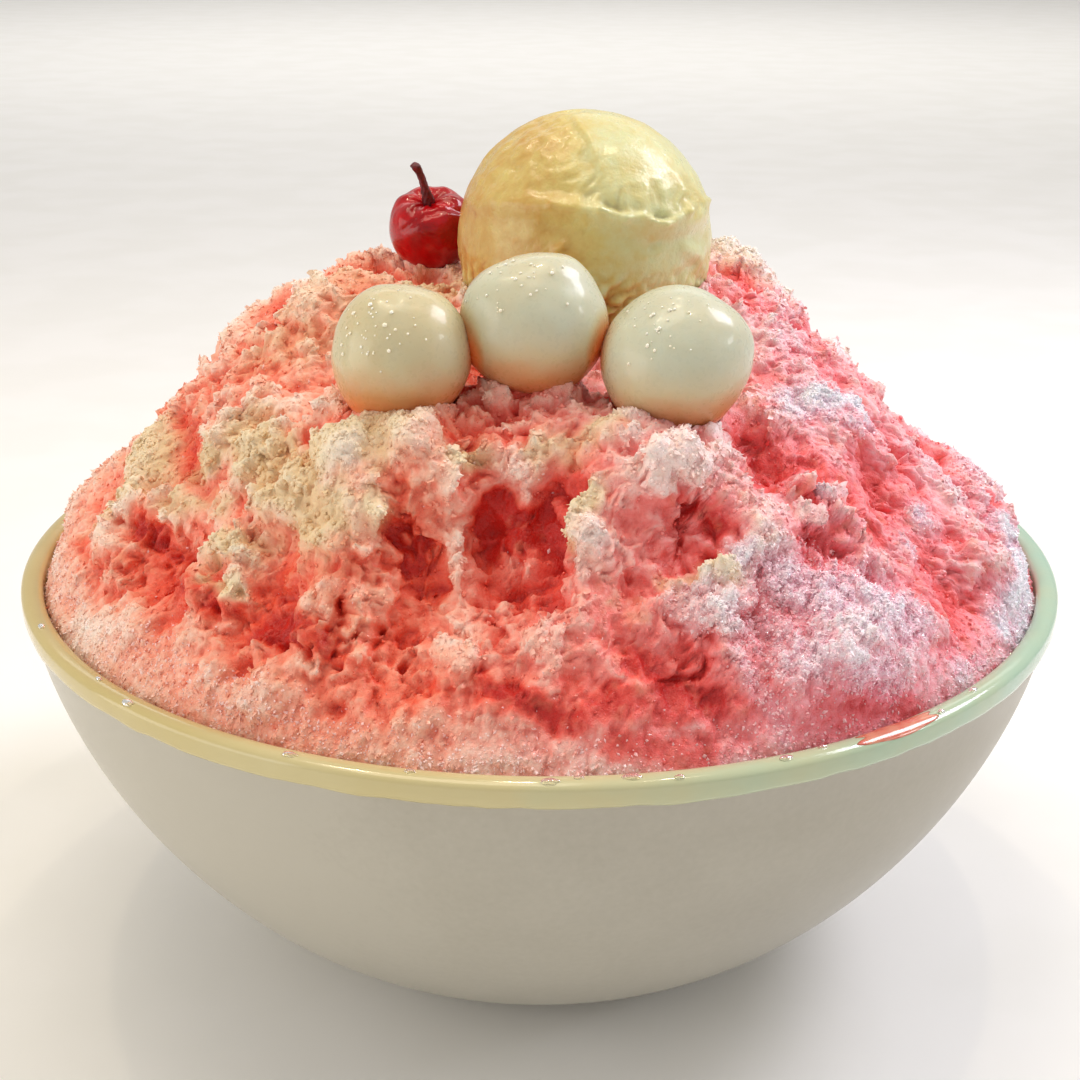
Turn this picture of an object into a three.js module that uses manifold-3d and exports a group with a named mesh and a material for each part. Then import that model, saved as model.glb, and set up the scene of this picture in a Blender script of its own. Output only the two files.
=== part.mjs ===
// Shaved ice dessert: a heaped mound of syrup-soaked shaved ice in a deep round bowl, topped with a
// scoop of vanilla ice cream, three rice-flour dumplings and a cherry on its stem.
// Millimetres, +Z up. The origin is the centre of the bowl's foot, and -Y is the side that is served
// towards the guest, where the dumplings lie.
import * as THREE from "three";
import { mergeVertices } from "three/addons/utils/BufferGeometryUtils.js";
import Module from "manifold-3d";

const wasm = await Module();
wasm.setup();

// ---------------------------------------------------------------- driving dimensions

const GAP = 0.35; // clearance between two touching pieces

// Bowl: a superelliptic wall that drops almost straight from the lip and runs flat into the foot.
const BOWL_HEIGHT = 88;
const LIP_RADIUS = 110; // outside of the glazed band
const WALL = 4;
const BAND_PROUD = 1.1; // how far the band stands out from the wall below it
const BAND_DEPTH = 4.6; // its height on the outside
const BASE_RADIUS = 40; // where the wall's curve ends, just above the foot
const BASE_HEIGHT = 1.2;
const FOOT_RADIUS = 38.6; // outside of the ring that the bowl stands on
const FOOT_WIDTH = 5;
const FOOT_RECESS = 1.8; // height of the hollow inside the ring
const FLOOR = 7; // top of the bowl's floor
const BELLY_OUT = 1.25; // exponents of the wall's curve
const BELLY_DOWN = 1.23;
const BOWL_SEGMENTS = 48;
const WALL_STEPS = 8;
const OUTER_RADIUS = LIP_RADIUS - BAND_PROUD; // of the wall, at the top of its curve
const INNER_RADIUS = OUTER_RADIUS - WALL + 0.7;

// Ice: a dome that drops steeply at its edge, just under the lip, and is flattened under the
// toppings: the crown is lower at the front, where the dumplings lie, than behind the scoop.
const WALL_GAP = 0.9; // clearance between the ice and the faceted wall round it
const ICE_RADIUS = INNER_RADIUS - WALL_GAP;
const ICE_SHOULDER = 92.5; // height where the dome meets its steep edge
const ICE_RISE = 68.5; // of the unflattened dome above its shoulder
const ICE_ROUNDNESS = 1.15;
const EDGE_DROP = 7.5;
const EDGE_WIDTH = 8;
const OVERHANG = 2.5; // how far the ice may lean out over the lip
const CROWN_FRONT = 131;
const CROWN_BACK = 147;
const CROWN_BLEND = 8;
const ICE_GRID = 50; // cells along each side of the dome's grid
const ICE_WALL_RINGS = 3;

// Toppings: centre and radius of each.
const SCOOP = { x: 8.5, y: -5, z: 154.4, radius: 26 };
const DUMPLINGS = [
  { name: "dumpling_left", x: -25.2, y: -51, z: 141.8, radius: 12.6, stretch: 1.07, seed: 21 },
  { name: "dumpling_middle", x: -0.8, y: -46, z: 147.1, radius: 13, stretch: 1, seed: 22 },
  { name: "dumpling_right", x: 24.2, y: -51, z: 141.5, radius: 13.7, stretch: 0.99, seed: 23 },
];
const CHERRY = { x: -23.7, y: 12, z: 153.2, radius: 9, lean: 24, turn: -8 };
const STEM = { length: 9.5, base: 1.15, middle: 0.62, tip: 0.85, bend: 2 };

// ---------------------------------------------------------------- noise

// A 32-bit hash of a lattice point, as a number from -1 to 1.
function hash(i, j, k, seed) {
  let h = Math.imul(i, 73856093) ^ Math.imul(j, 19349663) ^ Math.imul(k, 83492791);
  h ^= Math.imul(seed, 2654435761);
  h ^= h >>> 13;
  h = Math.imul(h, 1274126177);
  h ^= h >>> 16;
  return (h >>> 0) / 2147483647.5 - 1;
}

// Gradient noise: each lattice corner pulls with its own slope, blended by a quintic curve.
function noise(point, wavelength, seed) {
  const p = [point.x / wavelength, point.y / wavelength, point.z / wavelength];
  const cell = p.map(Math.floor);
  const f = p.map((value, axis) => value - cell[axis]);
  const w = f.map((t) => t * t * t * (t * (t * 6 - 15) + 10));
  let sum = 0;
  for (let corner = 0; corner < 8; corner++) {
    const c = [corner & 1, (corner >> 1) & 1, corner >> 2];
    const at = c.map((offset, axis) => cell[axis] + offset);
    let slope = 0;
    let weight = 1;
    for (let axis = 0; axis < 3; axis++) {
      slope += hash(...at, seed + 101 * axis) * (f[axis] - c[axis]);
      weight *= c[axis] ? w[axis] : 1 - w[axis];
    }
    sum += slope * weight;
  }
  return 1.6 * sum;
}

// Puffy clumps: rounded heaps that meet in creases, from about -1 to 2 and close to 0 on average.
function clumps(point, wavelength, seed) {
  return 3.2 * Math.hypot(noise(point, wavelength, seed), 0.06) - 1;
}

// ---------------------------------------------------------------- meshes and solids

function geometryFrom(points, faces) {
  const geometry = new THREE.BufferGeometry();
  const position = points.flatMap((point) => point.toArray());
  geometry.setAttribute("position", new THREE.Float32BufferAttribute(position, 3));
  geometry.setIndex(faces.flat());
  return geometry;
}

function solidFrom(geometry) {
  const bare = geometry.clone();
  bare.deleteAttribute("normal");
  bare.deleteAttribute("uv");
  const merged = mergeVertices(bare, 1e-4);
  return new wasm.Manifold(
    new wasm.Mesh({
      numProp: 3,
      vertProperties: merged.attributes.position.array,
      triVerts: new Uint32Array(merged.index.array),
    }),
  );
}

function geometryOf(solid) {
  const mesh = solid.getMesh();
  const geometry = new THREE.BufferGeometry();
  geometry.setAttribute("position", new THREE.BufferAttribute(mesh.vertProperties, 3));
  geometry.setIndex(new THREE.BufferAttribute(mesh.triVerts, 1));
  return geometry;
}

// The largest body of a solid: what a cut leaves loose is dropped.
function largestBody(solid) {
  return solid.decompose().sort((a, b) => b.volume() - a.volume())[0];
}

function meshOf(name, geometry, colour, roughness) {
  const material = new THREE.MeshStandardMaterial({ color: colour, roughness, metalness: 0 });
  geometry.computeVertexNormals();
  const mesh = new THREE.Mesh(geometry, material);
  mesh.name = name;
  return mesh;
}

// A ball whose surface is moved by shape(direction), which returns the distance from its centre.
function ball(segments, rings, shape) {
  const geometry = new THREE.SphereGeometry(1, segments, rings);
  geometry.rotateX(Math.PI / 2);
  geometry.deleteAttribute("normal");
  geometry.deleteAttribute("uv");
  const merged = mergeVertices(geometry, 1e-4);
  const position = merged.attributes.position;
  const direction = new THREE.Vector3();
  for (let i = 0; i < position.count; i++) {
    direction.fromBufferAttribute(position, i).normalize();
    direction.multiplyScalar(shape(direction));
    position.setXYZ(i, direction.x, direction.y, direction.z);
  }
  return merged;
}

// ---------------------------------------------------------------- bowl

// The wall's curve from the lip, at t = 0, to the foot, at t = 1: [radius, height].
function wallCurve(t, topRadius, baseHeight) {
  const angle = (t * Math.PI) / 2;
  return [
    BASE_RADIUS + (topRadius - BASE_RADIUS) * Math.cos(angle) ** BELLY_OUT,
    baseHeight + (BOWL_HEIGHT - baseHeight) * (1 - Math.sin(angle) ** BELLY_DOWN),
  ];
}

function bowl() {
  const halfLip = (LIP_RADIUS - INNER_RADIUS) / 2;
  const profile = [
    [0, FOOT_RECESS],
    [FOOT_RADIUS - FOOT_WIDTH, FOOT_RECESS],
    [FOOT_RADIUS - FOOT_WIDTH + 0.8, 0],
    [FOOT_RADIUS - 0.6, 0],
    [FOOT_RADIUS, 0.6],
  ];
  for (let step = 0; step <= WALL_STEPS; step++) {
    profile.push(wallCurve(1 - 0.88 * (step / WALL_STEPS), OUTER_RADIUS, BASE_HEIGHT));
  }
  profile.push([OUTER_RADIUS - 0.1, BOWL_HEIGHT - BAND_DEPTH - 0.5]);
  profile.push([LIP_RADIUS - 0.3, BOWL_HEIGHT - BAND_DEPTH]);
  profile.push([LIP_RADIUS, BOWL_HEIGHT - BAND_DEPTH / 2]);
  for (const angle of [20, 65, 115, 160]) {
    const turn = THREE.MathUtils.degToRad(angle);
    const radius = INNER_RADIUS + halfLip * (1 + Math.cos(turn));
    profile.push([radius, BOWL_HEIGHT - 0.6 * halfLip * (1 - Math.sin(turn))]);
  }
  for (let step = 0; step <= WALL_STEPS; step++) {
    profile.push(wallCurve(0.1 + 0.9 * (step / WALL_STEPS), INNER_RADIUS, FLOOR));
  }
  profile.push([0, FLOOR]);
  const points = profile.map(([radius, height]) => new THREE.Vector2(radius, height));
  const geometry = new THREE.LatheGeometry(points, BOWL_SEGMENTS);
  geometry.rotateX(Math.PI / 2);
  return geometry;
}

// ---------------------------------------------------------------- shaved ice

// Clumps and hollows with a place of their own: x and y on the mound's plan, how far each reaches
// along the surface, and how far it rises out of it or, below zero, sinks in.
const CRAGS = [
  { x: 0, y: -49, reach: 11, rise: 5.5 }, // seat of the middle dumpling
  { x: -31, y: -67, reach: 11, rise: 5.5 }, // cream ledge that runs under the left dumpling
  { x: -44, y: -56, reach: 9, rise: 4 },
  { x: -59, y: -42, reach: 6, rise: 3.5 },
  { x: -17, y: -69, reach: 8, rise: 4.5 }, // its overhanging end
  { x: -22, y: -77, reach: 7, rise: -4 }, // niche below the overhang
  { x: -6, y: -79, reach: 9.5, rise: -8 }, // deep red hollow in the middle
  { x: 1, y: -74, reach: 7, rise: -4 },
  { x: 7, y: -78, reach: 6, rise: 5 }, // clump to the right of it: shoulder, head, column and foot
  { x: 19, y: -68, reach: 7, rise: 5.5 },
  { x: 28, y: -66, reach: 6, rise: 3.5 },
  { x: 37, y: -71, reach: 6, rise: 4 },
  { x: 28, y: -84, reach: 6, rise: 3 },
  { x: 25, y: -75, reach: 5.5, rise: -6 }, // hollow inside that clump
  { x: 52, y: -76, reach: 20, rise: 4 }, // smooth crystalline shoulder
  { x: 40, y: -56, reach: 8, rise: -4 }, // gully beside the right dumpling
  { x: 56, y: -36, reach: 8, rise: 2.5 }, // ribs and pits of the right slope
  { x: 64, y: -46, reach: 7, rise: -3 },
  { x: 74, y: -36, reach: 7, rise: -2.5 },
  { x: 79, y: -55, reach: 8, rise: -3.5 },
  { x: 92, y: -40, reach: 10, rise: 3 }, // white heaps along the right and left edges
  { x: 98, y: 2, reach: 9, rise: 3 },
  { x: -98, y: 6, reach: 15, rise: 3.5 },
  { x: 41, y: 20, reach: 11, rise: 6 }, // white heap behind the scoop
  { x: 58, y: 18, reach: 8, rise: -4 }, // notch in the right-hand outline
  { x: 80, y: 16, reach: 14, rise: -4.5 },
  { x: -56, y: 15, reach: 9, rise: 1.5 }, // clumps of the left-hand outline
  { x: -69, y: 14, reach: 9, rise: 2 },
  { x: -50, y: -14, reach: 8, rise: 2.5 },
  { x: -71, y: -33, reach: 8, rise: -3 },
  { x: -83, y: -34, reach: 9, rise: 2.5 },
  { x: -73, y: -55, reach: 11, rise: -4 }, // red furrow, from the left side
  { x: -48, y: -79, reach: 11, rise: -3.5 }, // and down to the front
  { x: -36, y: -77, reach: 7, rise: 3 }, // ridge above the furrow
  { x: -23, y: -90, reach: 8, rise: -3 },
  { x: 3, y: -91, reach: 7, rise: 2 }, // peach shelf
  { x: 26, y: -95, reach: 8, rise: -2.5 },
  { x: -58, y: -85, reach: 11, rise: 2 }, // pale apron along the front edge
  { x: -16, y: 58, reach: 16, rise: 5 }, // clumps and gullies at the back
  { x: 34, y: 66, reach: 14, rise: 4 },
  { x: 8, y: 76, reach: 10, rise: -4.5 },
  { x: -56, y: 50, reach: 14, rise: 4 },
  { x: -40, y: 78, reach: 11, rise: -3 },
  { x: 66, y: 46, reach: 11, rise: -3 },
];

function smoothLeast(a, b, blend) {
  const h = Math.max(blend - Math.abs(a - b), 0) / blend;
  return Math.min(a, b) - (h * h * blend) / 4;
}

// Height of the bare dome over the plan point (x, y).
function domeHeight(x, y) {
  const radius = Math.hypot(x, y);
  const share = Math.min(radius / ICE_RADIUS, 1);
  const dome = ICE_SHOULDER + ICE_RISE * (1 - share * share) ** ICE_ROUNDNESS;
  const intoEdge = THREE.MathUtils.clamp((radius - ICE_RADIUS + EDGE_WIDTH) / EDGE_WIDTH, 0, 1);
  const crown = THREE.MathUtils.lerp(CROWN_FRONT, CROWN_BACK, THREE.MathUtils.smoothstep(y, -42, -14));
  return smoothLeast(dome - EDGE_DROP * intoEdge * intoEdge, crown, CROWN_BLEND);
}

// How far the ice stands out of the bare dome: puffy clumps of two sizes and the crags above.
function relief(point) {
  let rise = 1.5 * clumps(point, 27, 1) + 1.1 * clumps(point, 12, 2);
  for (const crag of CRAGS) {
    const distance = Math.hypot(point.x - crag.x, point.y - crag.y);
    rise += crag.rise * Math.exp(-((distance / crag.reach) ** 2));
  }
  return rise;
}

// The ice's surface over the plan point (x, y): the dome, pushed along its normal by the relief,
// which fades out at the bowl's wall. Above the lip it may lean out a little.
function icePoint(x, y) {
  const step = 0.5;
  const slopeX = (domeHeight(x + step, y) - domeHeight(x - step, y)) / (2 * step);
  const slopeY = (domeHeight(x, y + step) - domeHeight(x, y - step)) / (2 * step);
  const point = new THREE.Vector3(x, y, domeHeight(x, y));
  const normal = new THREE.Vector3(-slopeX, -slopeY, 1).normalize();
  const fade = THREE.MathUtils.smoothstep(ICE_RADIUS - Math.hypot(x, y), 0, 7);
  point.addScaledVector(normal, relief(point) * fade);
  const limit = ICE_RADIUS + OVERHANG * THREE.MathUtils.smoothstep(point.z - BOWL_HEIGHT, 1.5, 7);
  const inward = Math.min(1, limit / Math.max(Math.hypot(point.x, point.y), 1e-6));
  point.x *= inward;
  point.y *= inward;
  return point;
}

// A square of cells laid on the disc so that all keep nearly the same area.
function discPoint(a, b, radius) {
  if (a === 0 && b === 0) return [0, 0];
  const wide = Math.abs(a) > Math.abs(b);
  const reach = (wide ? a : b) * radius;
  const angle = wide ? (Math.PI / 4) * (b / a) : Math.PI / 2 - (Math.PI / 4) * (a / b);
  return [reach * Math.cos(angle), reach * Math.sin(angle)];
}

function iceMound() {
  const side = ICE_GRID + 1;
  const points = [];
  const faces = [];
  for (let row = 0; row < side; row++) {
    for (let column = 0; column < side; column++) {
      const [x, y] = discPoint((2 * column) / ICE_GRID - 1, (2 * row) / ICE_GRID - 1, ICE_RADIUS);
      points.push(icePoint(x, y));
    }
  }
  for (let row = 0; row < ICE_GRID; row++) {
    for (let column = 0; column < ICE_GRID; column++) {
      const [a, b, c, d] = [0, 1, side + 1, side].map((offset) => row * side + column + offset);
      const cutsFromA = points[a].distanceTo(points[c]) < points[b].distanceTo(points[d]);
      faces.push(...(cutsFromA ? [[a, b, c], [a, c, d]] : [[a, b, d], [b, c, d]]));
    }
  }
  // The grid's border, anticlockwise, then rings down the bowl's wall to the middle of its floor.
  let ring = [];
  for (let i = 0; i < ICE_GRID; i++) ring.push(i);
  for (let i = 0; i < ICE_GRID; i++) ring.push(i * side + ICE_GRID);
  for (let i = ICE_GRID; i > 0; i--) ring.push(ICE_GRID * side + i);
  for (let i = ICE_GRID; i > 0; i--) ring.push(i * side);
  const floor = FLOOR + WALL_GAP;
  for (let level = 1; level <= ICE_WALL_RINGS; level++) {
    const [radius, height] = wallCurve(0.1 + 0.75 * (level / ICE_WALL_RINGS), ICE_RADIUS, floor);
    const next = ring.map((index) => {
      const angle = Math.atan2(points[index].y, points[index].x);
      return points.push(new THREE.Vector3(radius * Math.cos(angle), radius * Math.sin(angle), height)) - 1;
    });
    ring.forEach((index, place) => {
      const after = (place + 1) % ring.length;
      faces.push([index, next[place], next[after]], [index, next[after], ring[after]]);
    });
    ring = next;
  }
  points.push(new THREE.Vector3(0, 0, floor));
  const centre = points.length - 1;
  ring.forEach((index, place) => faces.push([index, centre, ring[(place + 1) % ring.length]]));
  return geometryFrom(points, faces);
}

// ---------------------------------------------------------------- toppings

// The ice cream: a ball with a rolled edge above the middle, gathered into folds on its right, and a
// slightly narrower, rougher body below.
function scoop(grow) {
  const geometry = ball(32, 22, (direction) => {
    const azimuth = Math.atan2(direction.y, direction.x);
    const latitude = Math.asin(THREE.MathUtils.clamp(direction.z, -1, 1));
    const front = THREE.MathUtils.smoothstep(-direction.y, -0.2, 0.6);
    const edge = 0.36 + 0.05 * Math.sin(3 * azimuth + 1) - 0.06 * direction.x;
    const above = latitude - edge;
    const roll = 0.9 * Math.exp(-((above / 0.11) ** 2));
    const widens = THREE.MathUtils.smoothstep(-above, 0.3, 0.9);
    const waist = THREE.MathUtils.smoothstep(-above, 0, 0.14) - 0.6 * widens;
    const gathers = Math.exp(-(((above - 0.16) / 0.16) ** 2));
    const folds = 0.7 * Math.max(direction.x, 0) * Math.sin(15 * azimuth) * gathers;
    const rough = 0.5 * noise(direction, 0.35, 11) * THREE.MathUtils.smoothstep(-latitude, -0.2, 0.6);
    return SCOOP.radius + grow + front * (roll - 0.9 * waist + folds) + rough;
  });
  geometry.translate(SCOOP.x, SCOOP.y, SCOOP.z);
  return geometry;
}

// A hand-rolled dumpling: a soft, slightly uneven ball.
function dumplingBall({ x, y, z, radius, stretch, seed }, grow) {
  const geometry = ball(16, 12, (direction) => radius * (1 + 0.045 * noise(direction, 1.1, seed)) + grow);
  geometry.scale(1, 1, stretch);
  geometry.translate(x, y, z);
  return geometry;
}

// The outer dumplings are pressed flat where they lean on the middle one.
function dumpling(one) {
  const middle = DUMPLINGS[1];
  const soft = dumplingBall(one, 0);
  if (one === middle) return soft;
  return geometryOf(solidFrom(soft).subtract(solidFrom(dumplingBall(middle, GAP))));
}

// Turns a topping about the cherry's centre, the way the cherry leans, and sets it there.
function placeOnCherry(geometry) {
  geometry.rotateX(THREE.MathUtils.degToRad(CHERRY.lean));
  geometry.rotateZ(THREE.MathUtils.degToRad(CHERRY.turn));
  geometry.translate(CHERRY.x, CHERRY.y, CHERRY.z);
  return geometry;
}

// Depth of the dimple that the stem grows out of, as a share of the cherry's radius.
function dimple(direction) {
  const away = Math.acos(THREE.MathUtils.clamp(direction.z, -1, 1));
  return 0.3 * Math.exp(-((away / 0.42) ** 2));
}

function cherry(grow) {
  const geometry = ball(20, 15, (direction) => {
    const azimuth = Math.atan2(direction.y, direction.x);
    const shoulder = 0.05 * Math.exp(-(((direction.z - 0.62) / 0.3) ** 2));
    const wrinkles = 0.025 * Math.sin(7 * azimuth) * THREE.MathUtils.smoothstep(direction.z, 0.35, 0.85);
    return CHERRY.radius * (1 + shoulder + wrinkles - dimple(direction)) + grow;
  });
  return placeOnCherry(geometry);
}

// The stem: a short stalk, widest where it leaves the dimple, with a small dried knob at its tip.
function stem() {
  const foot = CHERRY.radius * (1 - 0.3) + GAP + 0.1;
  const rings = 8;
  const sides = 10;
  const points = [];
  const faces = [];
  for (let ring = 0; ring < rings; ring++) {
    const t = ring / (rings - 1);
    const shank = THREE.MathUtils.lerp(STEM.base, STEM.middle, Math.min(t / 0.45, 1));
    const radius = THREE.MathUtils.lerp(shank, STEM.tip, THREE.MathUtils.smoothstep(t, 0.8, 1));
    const middle = new THREE.Vector3(-STEM.bend * t * t, 0, foot + STEM.length * t);
    for (let side = 0; side < sides; side++) {
      const angle = (2 * Math.PI * side) / sides;
      const around = new THREE.Vector3(radius * Math.cos(angle), radius * Math.sin(angle), 0);
      points.push(around.add(middle));
    }
  }
  for (let ring = 0; ring < rings - 1; ring++) {
    for (let side = 0; side < sides; side++) {
      const a = ring * sides + side;
      const b = ring * sides + ((side + 1) % sides);
      faces.push([a, b, b + sides], [a, b + sides, a + sides]);
    }
  }
  for (let side = 1; side < sides - 1; side++) {
    const last = (rings - 1) * sides;
    faces.push([0, side + 1, side], [last, last + side, last + side + 1]);
  }
  return placeOnCherry(geometryFrom(points, faces));
}

// ---------------------------------------------------------------- assembly

// The ice is cut by a slightly larger copy of each topping, so that each lies in a nest of its own.
function iceRoundToppings() {
  let ice = solidFrom(iceMound());
  const nests = [scoop(GAP), cherry(GAP), ...DUMPLINGS.map((one) => dumplingBall(one, GAP))];
  for (const nest of nests) ice = ice.subtract(solidFrom(nest));
  return geometryOf(largestBody(ice));
}

const dessert = new THREE.Group();
dessert.add(meshOf("bowl", bowl(), 0xd9d3c3, 0.45));
dessert.add(meshOf("shaved_ice", iceRoundToppings(), 0xf0a197, 0.8));
dessert.add(meshOf("ice_cream_scoop", scoop(0), 0xf0dd9f, 0.5));
for (const one of DUMPLINGS) dessert.add(meshOf(one.name, dumpling(one), 0xefe6d2, 0.3));
dessert.add(meshOf("cherry", cherry(0), 0xb0101c, 0.2));
dessert.add(meshOf("cherry_stem", stem(), 0x5a0a14, 0.6));

export default dessert;
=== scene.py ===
# %% [markdown]
# # A heaped shaved ice dessert
# The real thing is a deep stoneware bowl, heaped far past its lip with loosely shaved ice. Strawberry
# syrup has run down through the ice and left it deep red in its hollows, pink on its slopes and bare
# and glittering where none reached. Sweet milk makes cream-coloured ledges. On top lie a ball of vanilla
# ice cream, three rice dumplings and a candied cherry.
#
# The solids of the part are already packed as a frame, in metres, and nothing here may leave them.
# The first cell loads that frame, before anything else is made.

# %% The frame
import math

import bpy
import numpy as np
from mathutils import Matrix, Vector


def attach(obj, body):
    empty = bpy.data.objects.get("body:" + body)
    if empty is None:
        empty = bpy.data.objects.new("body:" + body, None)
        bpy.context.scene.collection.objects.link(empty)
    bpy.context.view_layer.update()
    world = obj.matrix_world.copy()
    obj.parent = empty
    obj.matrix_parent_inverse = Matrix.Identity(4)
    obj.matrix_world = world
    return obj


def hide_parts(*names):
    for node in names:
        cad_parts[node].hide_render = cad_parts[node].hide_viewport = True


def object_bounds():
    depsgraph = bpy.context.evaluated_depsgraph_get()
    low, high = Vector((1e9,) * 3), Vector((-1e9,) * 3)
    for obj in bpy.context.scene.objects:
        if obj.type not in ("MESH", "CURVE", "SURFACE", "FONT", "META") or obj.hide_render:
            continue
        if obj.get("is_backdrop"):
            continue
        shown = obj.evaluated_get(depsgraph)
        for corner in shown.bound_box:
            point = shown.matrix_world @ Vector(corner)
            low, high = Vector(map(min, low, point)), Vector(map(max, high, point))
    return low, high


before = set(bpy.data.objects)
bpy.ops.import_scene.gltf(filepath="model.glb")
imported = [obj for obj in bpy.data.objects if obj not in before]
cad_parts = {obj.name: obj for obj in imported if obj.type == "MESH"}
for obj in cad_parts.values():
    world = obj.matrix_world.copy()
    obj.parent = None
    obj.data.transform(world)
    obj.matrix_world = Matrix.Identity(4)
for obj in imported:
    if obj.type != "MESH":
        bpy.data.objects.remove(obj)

solid_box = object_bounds()
print("the frame holds", ", ".join(sorted(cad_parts)))

# %% [markdown]
# ## Sizes
# All shapes below are worked out in millimetres, in the frame's own directions: +Z is up and -Y is the
# guest's side. The numbers are the part's driving dimensions, so that each surface follows its solid.

# %% Sizes of the bowl, the heap and the toppings
MM = 0.001
BOWL_HEIGHT, LIP_RADIUS, WALL = 88.0, 110.0, 4.0
BAND_PROUD, BAND_DEPTH = 1.1, 4.6
LIP_SQUASH = 0.6  # the lip's section is an ellipse: its height over its width
BASE_RADIUS, BASE_HEIGHT, FLOOR = 40.0, 1.2, 7.0
FOOT_RADIUS, FOOT_WIDTH, FOOT_RECESS = 38.6, 5.0, 1.8
BELLY_OUT, BELLY_DOWN = 1.25, 1.23
OUTER_RADIUS = LIP_RADIUS - BAND_PROUD
INNER_RADIUS = OUTER_RADIUS - WALL + 0.7

ICE_GAP = 0.9  # between the ice and the bowl's inner wall
ICE_RADIUS = INNER_RADIUS - ICE_GAP
ICE_SHOULDER, ICE_RISE, ICE_ROUNDNESS = 92.5, 68.5, 1.15
EDGE_DROP, EDGE_WIDTH, OVERHANG = 7.5, 8.0, 2.5
CROWN_FRONT, CROWN_BACK, CROWN_BLEND = 131.0, 147.0, 8.0

SCOOP_CENTRE, SCOOP_RADIUS = np.array([8.5, -5.0, 154.4]), 26.0
DUMPLINGS = {
    "dumpling_left": dict(
        centre=np.array([-25.2, -51.0, 141.8]), radius=12.6, stretch=1.07, seed=21, stain=0.32
    ),
    "dumpling_middle": dict(
        centre=np.array([-0.8, -46.0, 147.1]), radius=13.0, stretch=1.0, seed=22, stain=0.12
    ),
    "dumpling_right": dict(
        centre=np.array([24.2, -51.0, 141.5]), radius=13.7, stretch=0.99, seed=23, stain=0.10
    ),
}
CHERRY_CENTRE, CHERRY_RADIUS = np.array([-23.7, 12.0, 153.2]), 9.0
CHERRY_LEAN, CHERRY_TURN = math.radians(24), math.radians(-8)
TOPPINGS = [  # centre, radius, upward stretch, and height of the ice banked up round the foot
    (SCOOP_CENTRE, SCOOP_RADIUS, 1.0, 2.0),
    (CHERRY_CENTRE, CHERRY_RADIUS, 1.0, 0.0),
    *((one["centre"], one["radius"], one["stretch"], 3.5) for one in DUMPLINGS.values()),
]
print(f"bowl {2 * LIP_RADIUS:.0f} mm across, heap {2 * ICE_RADIUS:.0f} mm across")

# %% [markdown]
# ## Camera
# A guest looks at the dessert from the seat in front of it, a little from above. The lens is moderately
# long, and the camera is rolled by half a degree, as a hand-held one is.

# %% Camera
CAMERA_PLACE = Vector((0.0, -0.336, 0.2173))
CAMERA_PITCH, CAMERA_ROLL = math.radians(21.2), math.radians(0.5)
LENS_LENGTH, FILM_WIDTH, NEAREST_SEEN = 54.33, 36.0, 0.01

camera = bpy.data.objects.new("camera", bpy.data.cameras.new("camera"))
camera.data.lens = LENS_LENGTH
camera.data.sensor_width = FILM_WIDTH
camera.data.clip_start = NEAREST_SEEN
camera.matrix_world = (
    Matrix.Translation(CAMERA_PLACE)
    @ Matrix.Rotation(math.pi / 2 - CAMERA_PITCH, 4, "X")
    @ Matrix.Rotation(CAMERA_ROLL, 4, "Z")
)
bpy.context.scene.collection.objects.link(camera)
bpy.context.scene.camera = camera
print("camera stands", round(CAMERA_PLACE.length, 3), "m from the foot of the bowl")

# %% [markdown]
# ## Turning arrays into pieces
# Every surface is computed as whole arrays: a grid of points, or thousands of copies of a small shape.
# The arrays go into a mesh in one step each, which is much quicker than adding vertices one by one. A
# piece also carries named fields, one number for each point, and the materials read those.

# %% Mesh helpers
def grid_triangles(rows, columns, closed=False):
    """Two triangles for each cell of a grid of points that is stored row after row.

    Seen with columns to the right and rows downwards, they face the viewer. A closed grid also joins
    its last column to its first.
    """
    row, column = np.meshgrid(np.arange(rows - 1), np.arange(columns - (not closed)), indexing="ij")
    a = row * columns + column
    b = row * columns + (column + 1) % columns
    c, d = a + columns, b + columns
    return np.concatenate([np.stack([a, c, b], -1).reshape(-1, 3), np.stack([b, c, d], -1).reshape(-1, 3)])


def make_piece(name, points, triangles, material, nodes=(), smooth=True, fields=None):
    """A mesh object at the origin, from an (n, 3) array in millimetres and an (m, 3) array of corners."""
    mesh = bpy.data.meshes.new(name)
    mesh.vertices.add(len(points))
    mesh.vertices.foreach_set("co", (points * MM).astype(np.float32).ravel())
    mesh.loops.add(triangles.size)
    mesh.loops.foreach_set("vertex_index", triangles.astype(np.int32).ravel())
    mesh.polygons.add(len(triangles))
    mesh.polygons.foreach_set("loop_start", np.arange(0, triangles.size, 3, dtype=np.int32))
    mesh.polygons.foreach_set("use_smooth", np.full(len(triangles), smooth))
    for field, values in (fields or {}).items():
        layer = mesh.attributes.new(field, "FLOAT", "POINT")
        layer.data.foreach_set("value", np.asarray(values, dtype=np.float32))
    mesh.update(calc_edges=True)
    mesh.materials.append(material)
    piece = bpy.data.objects.new(name, mesh)
    bpy.context.scene.collection.objects.link(piece)
    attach(piece, "root")
    if nodes:
        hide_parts(*nodes)
    print(f"{name}: {len(triangles)} triangles")
    return piece


print("a grid of 3 by 4 points has", len(grid_triangles(3, 4)), "triangles")

# %% [markdown]
# ## Noise and soft shapes
# Shaved ice falls in puffs: rounded clumps that meet in creases, with smaller puffs on them. Gradient
# noise gives smooth hills and valleys of one size, and its absolute value folds each valley up into a
# sharp crease, which is just that form. The same noise shapes the solids, so the clumps agree.

# %% Noise
LATTICE_PRIMES = (73856093, 19349663, 83492791)
SEED_PRIME, MIXING_PRIME = 2654435761, 1274126177
HALF_OF_ALL = 2147483647.5  # half of the largest 32-bit number
AXIS_SEED = 101  # added to the seed for each of a slope's three parts
NOISE_GAIN = 1.6  # brings the values to about -1 to 1


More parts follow.
